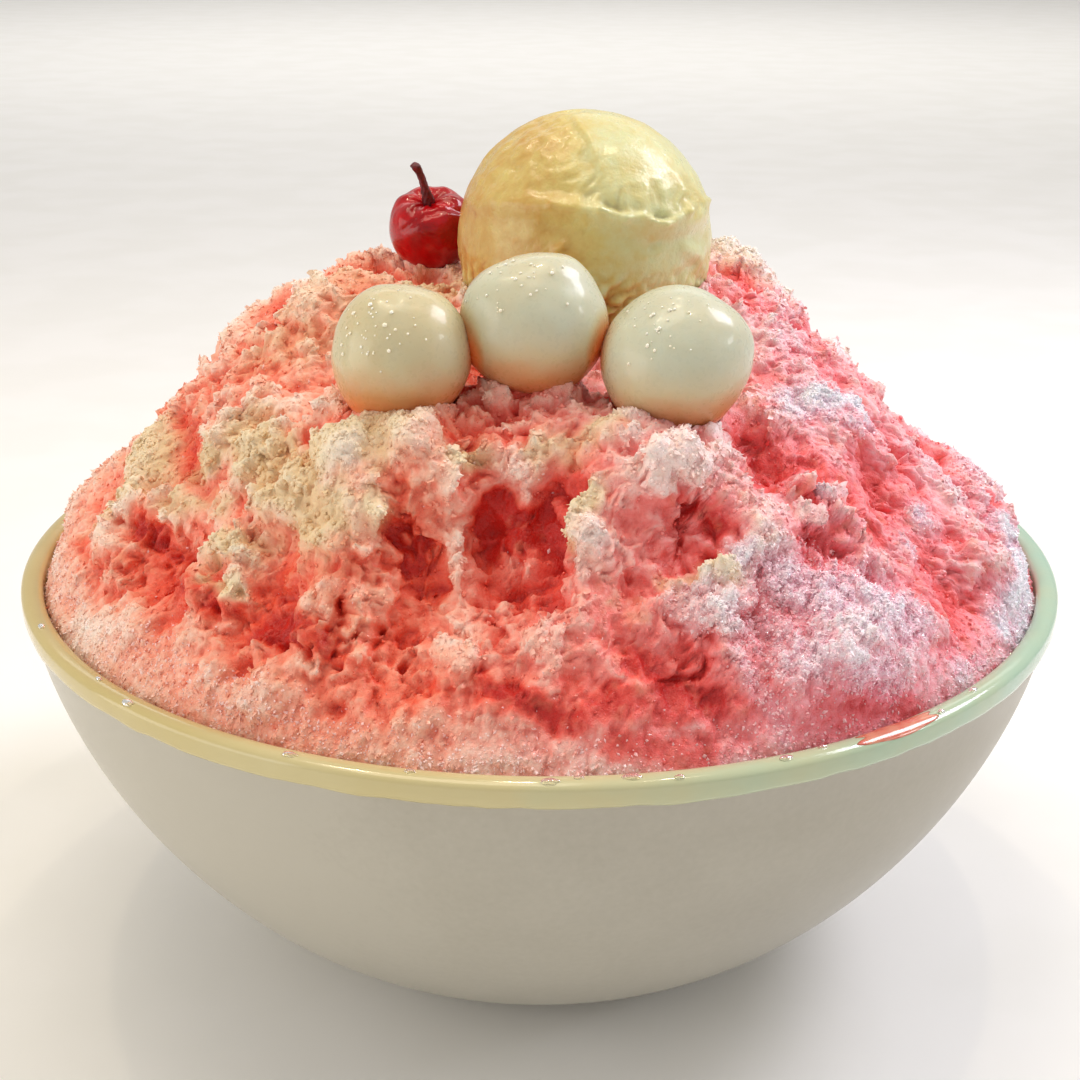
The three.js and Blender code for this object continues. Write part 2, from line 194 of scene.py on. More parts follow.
def lattice_slopes(i, j, k, seed):
    """A slope from -1 to 1 for each lattice point: its three whole numbers are multiplied by large
    primes, mixed by exclusive or with the seed, and scaled."""
    by_i, by_j, by_k = (side * np.uint32(prime) for side, prime in zip((i, j, k), LATTICE_PRIMES))
    mixed = by_i ^ by_j ^ by_k ^ np.uint32((seed * SEED_PRIME) % 2**32)
    mixed = (mixed ^ (mixed >> np.uint32(13))) * np.uint32(MIXING_PRIME)
    mixed = mixed ^ (mixed >> np.uint32(16))
    return mixed / HALF_OF_ALL - 1


def noise(points, wavelength, seed):
    """Gradient noise from about -1 to 1: each of the eight lattice corners round a point pulls with a
    slope of its own, and the pulls are blended by the quintic curve 6t^5 - 15t^4 + 10t^3."""
    scaled = points / wavelength
    cell = np.floor(scaled)
    offset = scaled - cell
    blend = offset**3 * (offset * (offset * 6 - 15) + 10)
    i, j, k = cell.astype(np.int64).astype(np.uint32).T
    total = np.zeros(len(points))
    for corner in range(8):
        di, dj, dk = corner & 1, (corner >> 1) & 1, corner >> 2
        at = i + np.uint32(di), j + np.uint32(dj), k + np.uint32(dk)
        pull = sum(
            lattice_slopes(*at, seed + AXIS_SEED * axis) * (offset[:, axis] - step)
            for axis, step in enumerate((di, dj, dk))
        )
        total += pull * np.prod(np.where([di, dj, dk], blend, 1 - blend), axis=1)
    return NOISE_GAIN * total


print("noise at one point:", np.round(noise(np.array([[3.0, 5.0, 7.0]]), 12, 1), 3))

# %% [markdown]
# ### Shapes made of noise
# Three noises at once push points sideways, folded noise makes puffs, and noise through a steep step
# makes tufts with flat hollows between them. The other helpers measure distances.

# %% Shapes made of noise
FOLD_GAIN, FOLD_WIDTH = 3.2, 0.06  # how steep a puff is, and how far the crease between two is rounded
TUFT_NOISES = ((1.0, 1.0), (0.42, 0.38), (0.26, 0.17))  # strength and share of the wavelength
TUFT_STEP = 0.14
VECTOR_SEED = 1000


def noise_vectors(points, wavelength, seed):
    """Three independent noises for each point, as an (n, 3) array of pushes."""
    return np.stack([noise(points, wavelength, seed + VECTOR_SEED * axis) for axis in range(1, 4)], axis=1)


def clumps(points, wavelength, seed):
    """Puffs that meet in creases: the rounded absolute value of the noise, scaled to a mean of about 0."""
    return FOLD_GAIN * np.hypot(noise(points, wavelength, seed), FOLD_WIDTH) - 1


def tufts(points, wavelength, seed):
    """Raised patches with ragged edges, from 0 to 1: a noise with two finer ones added, passed through
    a steep step. Between the patches lie flat-bottomed hollows."""
    level = sum(
        strength * noise(points, wavelength * share, seed + number)
        for number, (strength, share) in enumerate(TUFT_NOISES)
    )
    return smoothstep(level, -TUFT_STEP, TUFT_STEP)


def smoothstep(values, low, high):
    """0 below low, 1 above high, and 3t^2 - 2t^3 between."""
    t = np.clip((values - low) / (high - low), 0, 1)
    return t * t * (3 - 2 * t)


def segment_distance(points, start, end):
    """Distance of each point from a straight segment: its foot on the line, kept between the ends."""
    along = end - start
    share = np.clip((points - start) @ along / max(along @ along, 1e-9), 0, 1)
    return np.linalg.norm(points - start - share[:, None] * along, axis=1)


def unit(vectors):
    """Each row of an array, scaled to length 1."""
    return vectors / np.maximum(np.linalg.norm(vectors, axis=-1, keepdims=True), 1e-12)


print("puffs of 12 mm at that point:", np.round(clumps(np.array([[3.0, 5.0, 7.0]]), 12, 1), 3))

# %% [markdown]
# ## Where the ice stands out and sinks in
# Each crag has a place on the heap's plan, a reach and a rise. They are the solid's own crags, so the
# ledges, hollows and shoulders lie where the solid has them. Dents are smaller, with flat bottoms and
# steep walls. Ribs are thin ridges that only show up close, along short chains of points.

# %% Crags, dents and ribs
CRAGS = (  # x, y, reach, rise
    (0, -49, 11, 5.5), (-31, -67, 11, 5.5), (-44, -56, 9, 4), (-59, -42, 6, 3.5), (-17, -69, 8, 4.5),
    (-22, -77, 7, -4), (-6, -79, 9.5, -8), (1, -74, 7, -4), (7, -78, 6, 5), (19, -68, 7, 5.5),
    (28, -66, 6, 3.5), (37, -71, 6, 4), (28, -84, 6, 3), (25, -75, 5.5, -6), (52, -76, 20, 4),
    (40, -56, 8, -4), (56, -36, 8, 2.5), (64, -46, 7, -3), (74, -36, 7, -2.5), (79, -55, 8, -3.5),
    (92, -40, 10, 3), (98, 2, 9, 3), (-98, 6, 15, 3.5), (41, 20, 11, 6), (58, 18, 8, -4),
    (80, 16, 14, -4.5), (-56, 15, 9, 1.5), (-69, 14, 9, 2), (-50, -14, 8, 2.5), (-71, -33, 8, -3),
    (-83, -34, 9, 2.5), (-73, -55, 11, -4), (-48, -79, 11, -3.5), (-36, -77, 7, 3), (-23, -90, 8, -3),
    (3, -91, 7, 2), (26, -95, 8, -2.5), (-58, -85, 11, 2), (-16, 58, 16, 5), (34, 66, 14, 4),
    (8, 76, 10, -4.5), (-56, 50, 14, 4), (-40, 78, 11, -3), (66, 46, 11, -3),
)
DENTS = (  # the same four numbers
    (-6, -79, 9, -3.5), (-20, -79, 5, -1.0), (2, -73, 4, -2.5), (24, -74, 6, 2.8), (-68, -57, 8, -2.2),
    (-48, -82, 7, -2.2), (40, -57, 6, -2.0), (66, -44, 5, -2.0), (24, -96, 9, -1.8),
    (-8, -98, 8, -1.4), (-93, 14, 9, -4.0), (-83, 0, 8, -1.5), (82, -10, 9, -3.0), (62, -4, 7, -2.5),
    (-50, 6, 6, -1.8), (54, 16, 5, -2.5), (61, 6, 6, -3.2), (72, 2, 6, -1.8), (84, 4, 7, -2.5),
    (-74, -6, 5, -2.5), (-49, 15, 4, -3.0), (-36, 14, 5, 2.0), (-24, -5, 9, -3.4), (-3, -73, 4.5, 4.0),
    (-12, -77, 4, 2.5), (49, 22, 6, -2.0), (57, -6, 6, -2.5), (73, -15, 5, -2.0), (-98, 3, 5, -2.0),
    (97, 5, 6, -2.0), (-34, -65, 4.5, 2.4), (-22, -66, 4.5, 1.8), (12, -63, 4.5, 1.8), (-2, -61, 5, 1.8),
)
RIBS = (  # half width, rise, and the chain of plan points that the rib follows
    (1.6, 3.2, ((46, -48), (48, -57), (47, -64))),
    (1.6, 3.0, ((53, -47), (53, -60))),
    (1.5, 2.8, ((49, -61), (55, -65))),
    (1.4, 2.8, ((57, -45), (60, -54))),
    (1.7, 3.2, ((65, -37), (68, -42), (72, -44))),
    (1.0, 1.8, ((44, -55), (45, -62))),
    (1.0, 1.6, ((41, -52), (43, -58))),
    (1.5, 2.4, ((72, -36), (78, -41))),
    (1.1, 2.0, ((-31, -78), (-23, -82), (-18, -85), (-13, -84), (-7, -83))),
    (0.9, 1.8, ((-30, -85), (-24, -87), (-22, -90), (-19, -91))),
    (0.9, 1.8, ((-19, -88), (-13, -87), (-7, -87))),
    (1.3, 2.2, ((-28, -74), (-26, -79), (-23, -82))),
    (1.6, 2.6, ((17, -70), (23, -68), (29, -67))),
    (1.5, 2.4, ((33, -70), (37, -72), (37, -76))),
    (1.5, 2.4, ((18, -87), (25, -83), (33, -79))),
    (1.6, 2.4, ((3, -81), (5, -77), (10, -74))),
    (0.9, 1.8, ((12, -83), (13, -86))),
    (1.4, 2.4, ((-25, -65), (-18, -65), (-14, -69), (-15, -72), (-21, -69))),
    (1.6, 2.2, ((-38, -22), (-44, -13), (-50, -5))),
    (1.5, 2.0, ((-55, -21), (-66, -17))),
    (1.5, 2.0, ((-28, -20), (-33, -2))),
)
print(len(CRAGS), "crags,", len(DENTS), "dents and", len(RIBS), "ribs")

# %% [markdown]
# ### The dome and its relief
# Without its crags the heap is a dome whose height depends on the distance from the axis alone, cut off
# by a crown where the toppings stand. The crags and ribs are bell curves added to it: sums of smooth
# curves join without seams, wherever they overlap.

# %% The dome and its relief
COARSE_CLUMP, FINE_CLUMP = 27, 12
CROWN_EDGE_FRONT, CROWN_EDGE_BACK = -42, -14  # where along y the crown starts and ends its rise


def dome_height(x, y):
    """The bare dome: a shoulder, plus a rise that falls off as (1 - share of the radius squared) to a
    power, less a parabola in the steep edge, and softly cut off by a crown that is lower at the front."""
    radius = np.hypot(x, y)
    share = np.minimum(radius / ICE_RADIUS, 1)
    dome = ICE_SHOULDER + ICE_RISE * (1 - share**2) ** ICE_ROUNDNESS
    dome = dome - EDGE_DROP * np.clip((radius - ICE_RADIUS + EDGE_WIDTH) / EDGE_WIDTH, 0, 1) ** 2
    crown = CROWN_FRONT + (CROWN_BACK - CROWN_FRONT) * smoothstep(y, CROWN_EDGE_FRONT, CROWN_EDGE_BACK)
    blend = np.maximum(CROWN_BLEND - np.abs(dome - crown), 0) / CROWN_BLEND
    return np.minimum(dome, crown) - blend**2 * CROWN_BLEND / 4


def on_dome(x, y, lift=2.0):
    """A plan point, lifted to just above the dome."""
    return np.array([x, y, float(dome_height(np.float64(x), np.float64(y))) + lift])


def crag_relief(points):
    """The solid's own relief: clumps of two sizes, and a bell curve for each crag."""
    rise = 1.5 * clumps(points, COARSE_CLUMP, 1) + 1.1 * clumps(points, FINE_CLUMP, 2)
    for x, y, reach, height in CRAGS:
        rise += height * np.exp(-(np.hypot(points[:, 0] - x, points[:, 1] - y) / reach) ** 2)
    return rise


def dent_relief(points):
    """Hollows with flat bottoms and steep walls: the exponential of the distance to the fourth power."""
    rise = np.zeros(len(points))
    for x, y, reach, height in DENTS:
        rise += height * np.exp(-(np.hypot(points[:, 0] - x, points[:, 1] - y) / reach) ** 4)
    return rise


def chain_relief(points, chains):
    """The tallest of the ribs at each point: a bell curve of the distance from each rib's chain."""
    rise = np.zeros(len(points))
    for width, height, chain in chains:
        for start, end in zip(chain[:-1], chain[1:]):
            distance = segment_distance(points, on_dome(*start), on_dome(*end))
            rise = np.maximum(rise, height * np.exp(-((distance / width) ** 2)))
    return rise


print("the bare dome is", round(float(dome_height(0.0, 0.0)), 1), "mm high in the middle")

# %% [markdown]
# ## Where the syrup ran
# Syrup is poured over the top and sinks in along streams, milk lies in patches, and some ice stays
# bare. Painting by hand would not survive a change of the mesh, so each is a list of strokes on the
# heap's plan. A stroke colours the ice near its segment. The points are first pushed about by noise, so
# that a stroke's edge is as ragged as a wet stain's.

# %% Strokes of syrup, milk and bare ice
SYRUP = (  # x and y of both ends, half width, strength
    (-69, -22, -64, -38, 3.8, 0.66), (-59, -49, -57, -51, 2.6, 0.95), (-77, -45, -70, -62, 6.0, 1.0),
    (-70, -62, -54, -78, 5.2, 1.0), (-54, -78, -38, -87, 5.4, 1.12), (-38, -87, -33, -91, 3.8, 1.12),
    (-45, -78, -41, -80, 2.6, 0.85), (-45, -72, -39, -76, 2.4, 0.75), (-30, -92, -22, -97, 4.8, 0.92),
    (-30, -88, -7, -92, 3.8, 0.66), (-12, -81, -6, -80, 5.0, 1.25), (-2, -80, 4, -79, 4.0, 0.8),
    (-2, -76, 6, -74, 3.6, 1.12), (-24, -74, -18, -78, 4.6, 0.5), (-24, -80, -23, -81, 2.6, 0.8),
    (12, -75, 26, -76, 4.2, 0.56), (24, -73, 31, -74, 3.4, 1.02), (24, -79, 32, -78, 3.4, 0.74),
    (8, -72, 13, -71, 2.2, 0.82), (14, -66, 20, -66, 2.8, 0.92), (-14, -63, 10, -66, 4.4, 0.66),
    (-19, -84, -8, -85, 2.4, 0.85), (-16, -89, -8, -91, 3.0, 0.92), (-29, -94, -11, -98, 4.6, 0.82),
    (-10, -98, 6, -101, 4.6, 1.08), (7, -100, 32, -96, 4.6, 0.96), (16, -95, 31, -96, 5.2, 1.0),
    (33, -92, 39, -95, 2.6, 0.52), (53, -88, 66, -81, 3.4, 0.92), (45, -55, 67, -53, 7.0, 0.76),
    (38, -55, 43, -59, 4.0, 0.66), (32, -66, 42, -63, 3.6, 0.86), (66, -31, 71, -34, 4.4, 0.72),
    (70, -44, 78, -38, 3.4, 0.62), (46, -63, 50, -64, 3.0, 1.0), (52, -65, 64, -60, 4.0, 0.82),
    (39, -71, 48, -71, 4.0, 0.76), (92, -14, 94, -20, 3.8, 0.95), (82, -45, 87, -51, 4.4, 0.72),
    (75, -64, 81, -62, 3.4, 0.78), (61, -76, 71, -72, 3.2, 0.55), (40, -80, 44, -83, 2.8, 0.6),
    (46, -13, 49, -16, 4.0, 0.62), (55, -18, 58, -20, 4.0, 0.66), (13, -102, 28, -100, 4.5, 1.0),
    (29, -50, 39, -56, 4.0, 0.62), (50, -26, 60, -26, 4.4, 0.6), (40, -46, 42, -43, 2.6, 0.82),
    (55, -24, 58, -22, 2.6, 0.8), (62, -36, 66, -34, 2.6, 0.88), (75, -31, 79, -33, 3.0, 0.92),
    (-67, -14, -43, -25, 7.0, 0.52), (-58, -31, -52, -40, 3.6, 0.62), (-46, 4, -36, -8, 7.0, 0.6),
    (-12, -44, -8, -49, 3.0, 0.92), (12, -44, 14, -50, 3.0, 0.85), (13, -28, 16, -28, 2.4, 1.0),
    (-90, 4, -78, 14, 7.0, 0.62), (-96, -22, -90, -42, 3.2, 0.6),
)
MILK = (
    (-50, -17, -36, -10, 8.0, 0.34), (-44, -27, -56, -22, 7.0, 0.4), (-80, -22, -76, -34, 7.0, 0.9),
    (-71, -38, -64, -46, 4.5, 1.1), (-55, -48, -37, -72, 7.4, 1.0), (-43, -62, -26, -65, 6.4, 1.0),
    (-26, -68, -13, -68, 3.6, 0.92), (-28, -72, -25, -82, 2.8, 0.72), (-60, -43, -56, -47, 2.6, 0.82),
    (-87, -31, -74, -37, 6.0, 0.8), (-71, -47, -62, -56, 3.8, 1.2), (-63, -62, -49, -71, 3.8, 0.8),
    (-59, -71, -51, -76, 2.4, 0.8), (-49, -74, -43, -77, 2.6, 0.52), (-2, -69, 11, -65, 3.4, 0.66),
    (3, -80, 10, -75, 3.2, 0.86), (14, -86, 18, -88, 2.6, 1.0), (22, -84, 33, -80, 2.8, 0.85),
    (34, -71, 37, -76, 2.8, 0.56), (-24, -18, -14, -12, 5.0, 0.9), (-22, -4, -10, 4, 6.0, 0.7),
    (72, -48, 76, -48, 2.8, 0.72), (-31, -79, -7, -83, 1.3, 0.62), (-42, -8, -34, -28, 4.0, 0.35),
    (-60, 60, -30, 74, 9.0, 0.7), (38, 52, 66, 40, 8.0, 0.6), (-8, 40, 20, 44, 9.0, 0.55),
    (30, 22, 50, 14, 8.0, 0.7),
)
BARE = (
    (42, -79, 63, -74, 8.0, 1.1), (44, -87, 59, -83, 7.0, 0.92), (74, -42, 76, -50, 3.4, 1.4),
    (35, -72, 35, -78, 2.2, 1.2), (25, -84, 32, -84, 2.4, 0.9), (44, -47, 48, -52, 1.5, 0.8),
    (48, -52, 51, -63, 1.5, 0.8), (50, -47, 57, -52, 1.5, 0.8), (60, -40, 68, -38, 1.6, 0.85),
    (68, -38, 72, -44, 1.6, 0.85), (28, -86, 44, -86, 5.0, 0.8), (71, -54, 77, -57, 4.0, 1.5),
    (95, -25, 97, -34, 5.0, 1.5), (95, -36, 89, -52, 5.0, 1.5), (99, -14, 99, -30, 4.0, 1.6),
    (99, -30, 93, -50, 4.5, 1.6), (76, -71, 88, -58, 3.4, 0.8), (-25, -102, 16, -104, 3.0, 0.62),
    (20, -103, 40, -98, 2.8, 0.62), (-81, -62, -58, -85, 6.6, 0.42), (-56, -86, -31, -99, 5.4, 0.5),
    (34, -90, 41, -96, 3.0, 0.7), (47, -41, 65, -30, 5.0, 1.5), (47, -12, 50, -30, 6.0, 0.4),
    (80, -24, 90, -24, 6.0, 0.5), (68, -32, 74, -40, 4.0, 0.4), (-99, -26, -85, -58, 3.6, 0.55),
    (34, 22, 52, 16, 9.0, 0.6), (96, 0, 92, 30, 8.0, 0.6), (-70, 62, -94, 30, 9.0, 0.6),
    (10, 98, 50, 84, 9.0, 0.6),
)
DEEP_SYRUP = (
    (-9, -67, 2, -69, 6.5, 1.4), (25, -68, 29, -69, 3.0, 0.85),
)


def stroke_cover(points, strokes, lift=2.0):
    """The strongest stroke at each point: strength times a flat-topped bell of the distance in widths."""
    cover = np.zeros(len(points))
    for x0, y0, x1, y1, width, strength in strokes:
        distance = segment_distance(points, on_dome(x0, y0, lift), on_dome(x1, y1, lift))
        cover = np.maximum(cover, strength * np.exp(-((distance / width) ** 3)))
    return cover


print(len(SYRUP), "strokes of syrup,", len(MILK), "of milk and", len(BARE), "of bare ice")

# %% [markdown]
# ### From strokes to fields
# The strokes become three fields, with a number for each point of the heap. Syrup also gathers under
# the middle dumpling, ice at the rim is a little bare, and where ice is bare the syrup has washed out.

# %% From strokes to fields
BACK_FROM, BACK_FULL = 0, 30  # along y, where the hidden back begins
RIGHT_FROM, RIGHT_FULL = 30, 60  # along x
RIM_WIDTH, RIM_BARE = 9, 0.35
CONTACT_SYRUP, CONTACT_REACH = 0.85, 3.5  # round the middle dumpling
WASHED_OUT, MILK_OVER = 0.3, 0.35  # how much syrup bare ice and milk take away


def colour_fields(points):
    """How far each point is soaked with syrup, covered by milk, or bare and clear, from 0 to about 1.

    Some syrup is everywhere, and at the back, where few strokes lie, two sizes of noise soak the ice."""
    ragged = points + 2.2 * noise_vectors(points, 9, 40) + 0.9 * noise_vectors(points, 3, 41)
    back = smoothstep(points[:, 1], BACK_FROM, BACK_FULL)
    blotches = 0.5 * noise(points, 34, 51) + 0.25 * noise(points, 13, 52)
    right = smoothstep(points[:, 0], RIGHT_FROM, RIGHT_FULL) * (1 - back)
    front = smoothstep(-points[:, 1], 45, 75) * (1 - smoothstep(np.abs(points[:, 0]), 40, 70))
    poured = 0.47 + 0.10 * right + 0.07 * front + 0.20 * noise(points, 14, 53) + back * (0.05 + blotches)
    syrup = np.maximum(np.clip(poured, 0, 1.1), stroke_cover(ragged, SYRUP))
    syrup = np.maximum(syrup, stroke_cover(ragged, DEEP_SYRUP, lift=-12.0))
    middle = DUMPLINGS["dumpling_middle"]
    gap = np.maximum(np.linalg.norm(points - middle["centre"], axis=1) - middle["radius"], 0)
    syrup = np.maximum(syrup, CONTACT_SYRUP * np.exp(-((gap / CONTACT_REACH) ** 2)))
    milk = stroke_cover(ragged, MILK)
    bare = stroke_cover(ragged, BARE)
    rim = smoothstep(np.hypot(points[:, 0], points[:, 1]), ICE_RADIUS - RIM_WIDTH, ICE_RADIUS - 1)
    bare = np.maximum(bare, RIM_BARE * rim)
    washed = WASHED_OUT * np.minimum(bare, 1) + np.clip(bare - 1, 0, 0.6)
    syrup = syrup * (1 - washed) * (1 - MILK_OVER * np.minimum(milk, 1))
    return syrup, milk, bare


print("syrup, milk and bare ice on the top:", *np.round(colour_fields(on_dome(0, 0)[None]), 2).ravel())

# %% [markdown]
# ## The surface of the heap
# One grid covers the whole heap. A square grid pressed into a disc keeps its cells nearly equal, where
# a polar grid would crowd at the top. Its rows are closer on the guest's side.

# %% The heap's grid
COLUMNS, FRONT_ROWS, BACK_ROWS = 350, 262, 120
SLOPE_STEP = 0.5


def disc_points(a, b):
    """A square from -1 to 1 pressed into the unit disc: the larger coordinate becomes the radius, and
    the ratio of the two the angle."""
    wide = np.abs(a) > np.abs(b)
    reach = np.where(wide, a, b)
    ratio = np.divide(np.where(wide, b, a), reach, out=np.zeros_like(a), where=reach != 0)
    angle = np.where(wide, math.pi / 4 * ratio, math.pi / 2 - math.pi / 4 * ratio)
    return reach * np.cos(angle), reach * np.sin(angle)


def grid_normals(surface):
    """Outward normals of a grid of points: the cross product of its steps down a column and along a row."""
    return unit(np.cross(np.gradient(surface, axis=0), np.gradient(surface, axis=1)))


def blurred(field, radius):
    """Mean of a grid over a square window: differences of running sums, first down, then across."""
    for axis in (0, 1):
        padded = np.pad(field, [(radius + 1, radius) if a == axis else (0, 0) for a in (0, 1)], "edge")
        sums = np.cumsum(padded, axis=axis)
        upper = np.take(sums, np.arange(2 * radius + 1, sums.shape[axis]), axis=axis)
        lower = np.take(sums, np.arange(0, sums.shape[axis] - 2 * radius - 1), axis=axis)
        field = (upper - lower) / (2 * radius + 1)
    return field


def plan_grid():
    """The grid's shape and its plan points, in rows from the back of the heap to the front."""
    across = np.linspace(-1, 1, COLUMNS + 1)
    down = np.concatenate([np.linspace(1, 0, BACK_ROWS + 1), np.linspace(0, -1, FRONT_ROWS + 1)[1:]])
    b, a = np.meshgrid(down, across, indexing="ij")
    return a.shape, *(ICE_RADIUS * side.ravel() for side in disc_points(a, b))


def dome_normals(x, y):
    """Normals of the bare dome: its slopes along x and along y, each measured over two short steps."""
    slope_x = (dome_height(x + SLOPE_STEP, y) - dome_height(x - SLOPE_STEP, y)) / (2 * SLOPE_STEP)
    slope_y = (dome_height(x, y + SLOPE_STEP) - dome_height(x, y - SLOPE_STEP)) / (2 * SLOPE_STEP)
    return unit(np.stack([-slope_x, -slope_y, np.ones_like(x)], axis=1))


print("grid of", FRONT_ROWS + BACK_ROWS + 1, "rows and", COLUMNS + 1, "columns")

# %% [markdown]
# ### Puffs, pits and grain
# Loose ice has puffs of several sizes, each with smaller ones on it, and pits between them. Milk makes
# the puffs fuller and fills the pits, and bare ice has fine grain instead. All of it is one height for
# each point, to be added along the surface's normal.

# %% The heap's small relief
COLLAR_REACH = 3.5
RIBBED_X, RIBBED_Y, RIBBED_REACH = 60, -48, 18  # the patch on the right where ribs take the puffs' place
LARGE_PUFF, SMALL_PUFF, GRAIN_SIZE, PIT_SIZE = 12, 6, 2.8, 5.2
RELIEF_FADE, RIM_FADE = 7, 10  # how far inside the rim the crags and the small relief reach full height


def collars(points):
    """Ice banked up round the foot of each topping: a bell curve of the distance from its ball."""
    rise = np.zeros(len(points))
    for centre, radius, _, height in TOPPINGS:
        gap = np.maximum(np.linalg.norm(points - centre, axis=1) - radius, 0)
        low = smoothstep(centre[2] - points[:, 2], 0.2 * radius, 0.6 * radius)
        rise = np.maximum(rise, height * low * np.exp(-((gap / COLLAR_REACH) ** 2)))
    return rise


def small_relief(points, near_rim, flowing, crusted):
    """Ribs, dents, puffs of three sizes, pits and grain. Where the ice is loose the puffs and pits are
    at their deepest: that follows a wide noise, the milk and the dents, and bare or ribbed ice has
    little of it. Near the rim all of it is lower."""
    bent = points + 1.5 * noise_vectors(points, 6, 60)
    sunk = dent_relief(bent)
    ribs = chain_relief(bent, RIBS) + sunk
    loose = 0.45 + 0.7 * smoothstep(noise(points, 20, 9) + 0.3 * flowing, -0.25, 0.35)
    ribbed = np.exp(-(np.hypot(points[:, 0] - RIBBED_X, points[:, 1] - RIBBED_Y) / RIBBED_REACH) ** 4)
    loose = np.maximum(loose * (1 - 0.7 * crusted) * (1 - 0.5 * ribbed), smoothstep(-sunk, 1.2, 2.6))
    puffs = 1.7 * (tufts(points, LARGE_PUFF, 31) - 0.6) + 1.1 * (tufts(points, SMALL_PUFF, 34) - 0.6)
    puffs = (puffs + 0.4 * clumps(points, 3.6, 4)) * loose - 0.1
    grain = tufts(points, GRAIN_SIZE, 36) - 0.5
    fine = 0.25 * clumps(points, 1.9, 5) + 0.25 * noise(points, 1.1, 6) + (0.5 + 0.5 * crusted) * grain
    pits = -1.6 * smoothstep(noise(points, PIT_SIZE, 7) + 0.3 * noise(points, 2.1, 8), 0.25, 0.5)
    pits *= loose * (1 - 0.55 * flowing)
    return (ribs + puffs + pits) * near_rim + fine * np.sqrt(near_rim) + collars(points)


print("puffs of", LARGE_PUFF, "and", SMALL_PUFF, "mm, pits of", PIT_SIZE, "mm, grain of", GRAIN_SIZE, "mm")

# %% [markdown]
# ### Room for the bowl and the toppings
# Whatever is set down on shaved ice presses it away, and the bowl holds it in. So points outside the
# rim are moved in towards the axis, and points inside a topping straight out to its surface.

# %% Room for the bowl and the toppings
WALL_TOUCH = 0.75
TOPPING_SINK = 0.2  # how deep each topping sits in the ice that touches it


def press_out(points, centre, radius, stretch=1.0):
    """Points inside a ball are moved straight away from its centre, to its surface."""
    away = (points - centre) / (1, 1, stretch)
    distance = np.linalg.norm(away, axis=-1, keepdims=True)
    share = np.maximum(1, radius / np.maximum(distance, 1e-9))
    return centre + (points - centre) * share


def make_room(points, inside):
    """The ice is kept within the rim, a little further out where it stands above the lip, and pressed
    away from the toppings. The grid's edge reaches out to the bowl's wall."""
    limit = ICE_RADIUS + OVERHANG * smoothstep(points[:, 2] - BOWL_HEIGHT, 1.5, 7)
    points[:, :2] *= np.minimum(1, limit / np.maximum(np.hypot(*points[:, :2].T), 1e-6))[:, None]
    for centre, radius, stretch, _ in TOPPINGS:
        points = press_out(points, centre, radius - TOPPING_SINK, stretch)
    reach = 1 + (WALL_TOUCH / ICE_RADIUS) * smoothstep(-inside, -6, 0)
    points[:, :2] *= reach[:, None]
    return points


print("the ice makes room for", len(TOPPINGS), "toppings")

# %% [markdown]
# ### The heap's surface
# Each point is pushed out of the dome by the solid's relief, then by the small relief, and last sideways, so
# that clumps overhang their hollows as loose ice does. A fourth field says how sunken the ice is: how far a
# point lies below the mean of its neighbours, near and far. The finishes paint shade with it: sunken ice is
# coloured deeper and darker, and standing ice paler.

# %% The heap's surface
NEAR_WINDOW, FAR_WINDOW = 4, 18  # half widths in cells, over which a point's height is compared
NEAR_DEPTH, FAR_DEPTH = 1.6, 2.4  # the depths in millimetres that count as one
LEAST_HOLLOW, MOST_HOLLOW = -1.5, 2.0


def heap_surface():
    """The grid of surface points, and the fields that colour it."""
    shape, x, y = plan_grid()
    base = np.stack([x, y, dome_height(x, y)], axis=1)
    inside = ICE_RADIUS - np.hypot(x, y)
    rise = crag_relief(base) * smoothstep(inside, 0, RELIEF_FADE)
    points = base + dome_normals(x, y) * rise[:, None]

    syrup, milk, bare = colour_fields(points)
    crusted = np.clip(bare, 0, 1)
    outward = grid_normals(points.reshape(*shape, 3)).reshape(-1, 3)
    near_rim = 0.25 + 0.75 * smoothstep(inside, 0, RIM_FADE)
    small = small_relief(points, near_rim, np.clip(milk, 0, 1), crusted)
    points = points + outward * small[:, None]
    ragged = 0.9 * noise_vectors(points, 5.5, 61) + 0.45 * noise_vectors(points, 2.2, 62)
    points = make_room(points + ragged * (near_rim * (1 - 0.5 * crusted))[:, None], inside)

    height = (rise + small).reshape(shape)
    # How sunken each point is, near and far. The finishes paint shade with it: sunken ice gets a deeper,
    # darker colour.
    near, far = blurred(height, NEAR_WINDOW), blurred(height, FAR_WINDOW)
    hollow = (near - height) / NEAR_DEPTH + (far - near) / FAR_DEPTH
    hollow = np.clip(hollow.ravel(), LEAST_HOLLOW, MOST_HOLLOW)
    fields = dict(syrup=syrup, milk=milk, bare=bare, hollow=hollow)
    return points.reshape(*shape, 3), {name: values.reshape(shape) for name, values in fields.items()}


surface, surface_fields = heap_surface()
print("heap's grid", surface.shape[:2], "highest point", round(surface[..., 2].max(), 1), "mm")

# %% [markdown]
# ## Building finishes
# A finish is a small network of nodes. The class below only shortens the writing: each method adds one
# kind of node and returns the socket that the next one reads. Patterns read Object coordinates, so they
# sit still in the piece, or one of the piece's own fields.

# %% Finish helper
def screen(red, green, blue):
    """A colour as a screen shows it, 0 to 255, turned into linear light: ((c + 0.055) / 1.055)^2.4."""
    shares = [channel / 255 for channel in (red, green, blue)]
    return (*[c / 12.92 if c < 0.04 else ((c + 0.055) / 1.055) ** 2.4 for c in shares], 1.0)


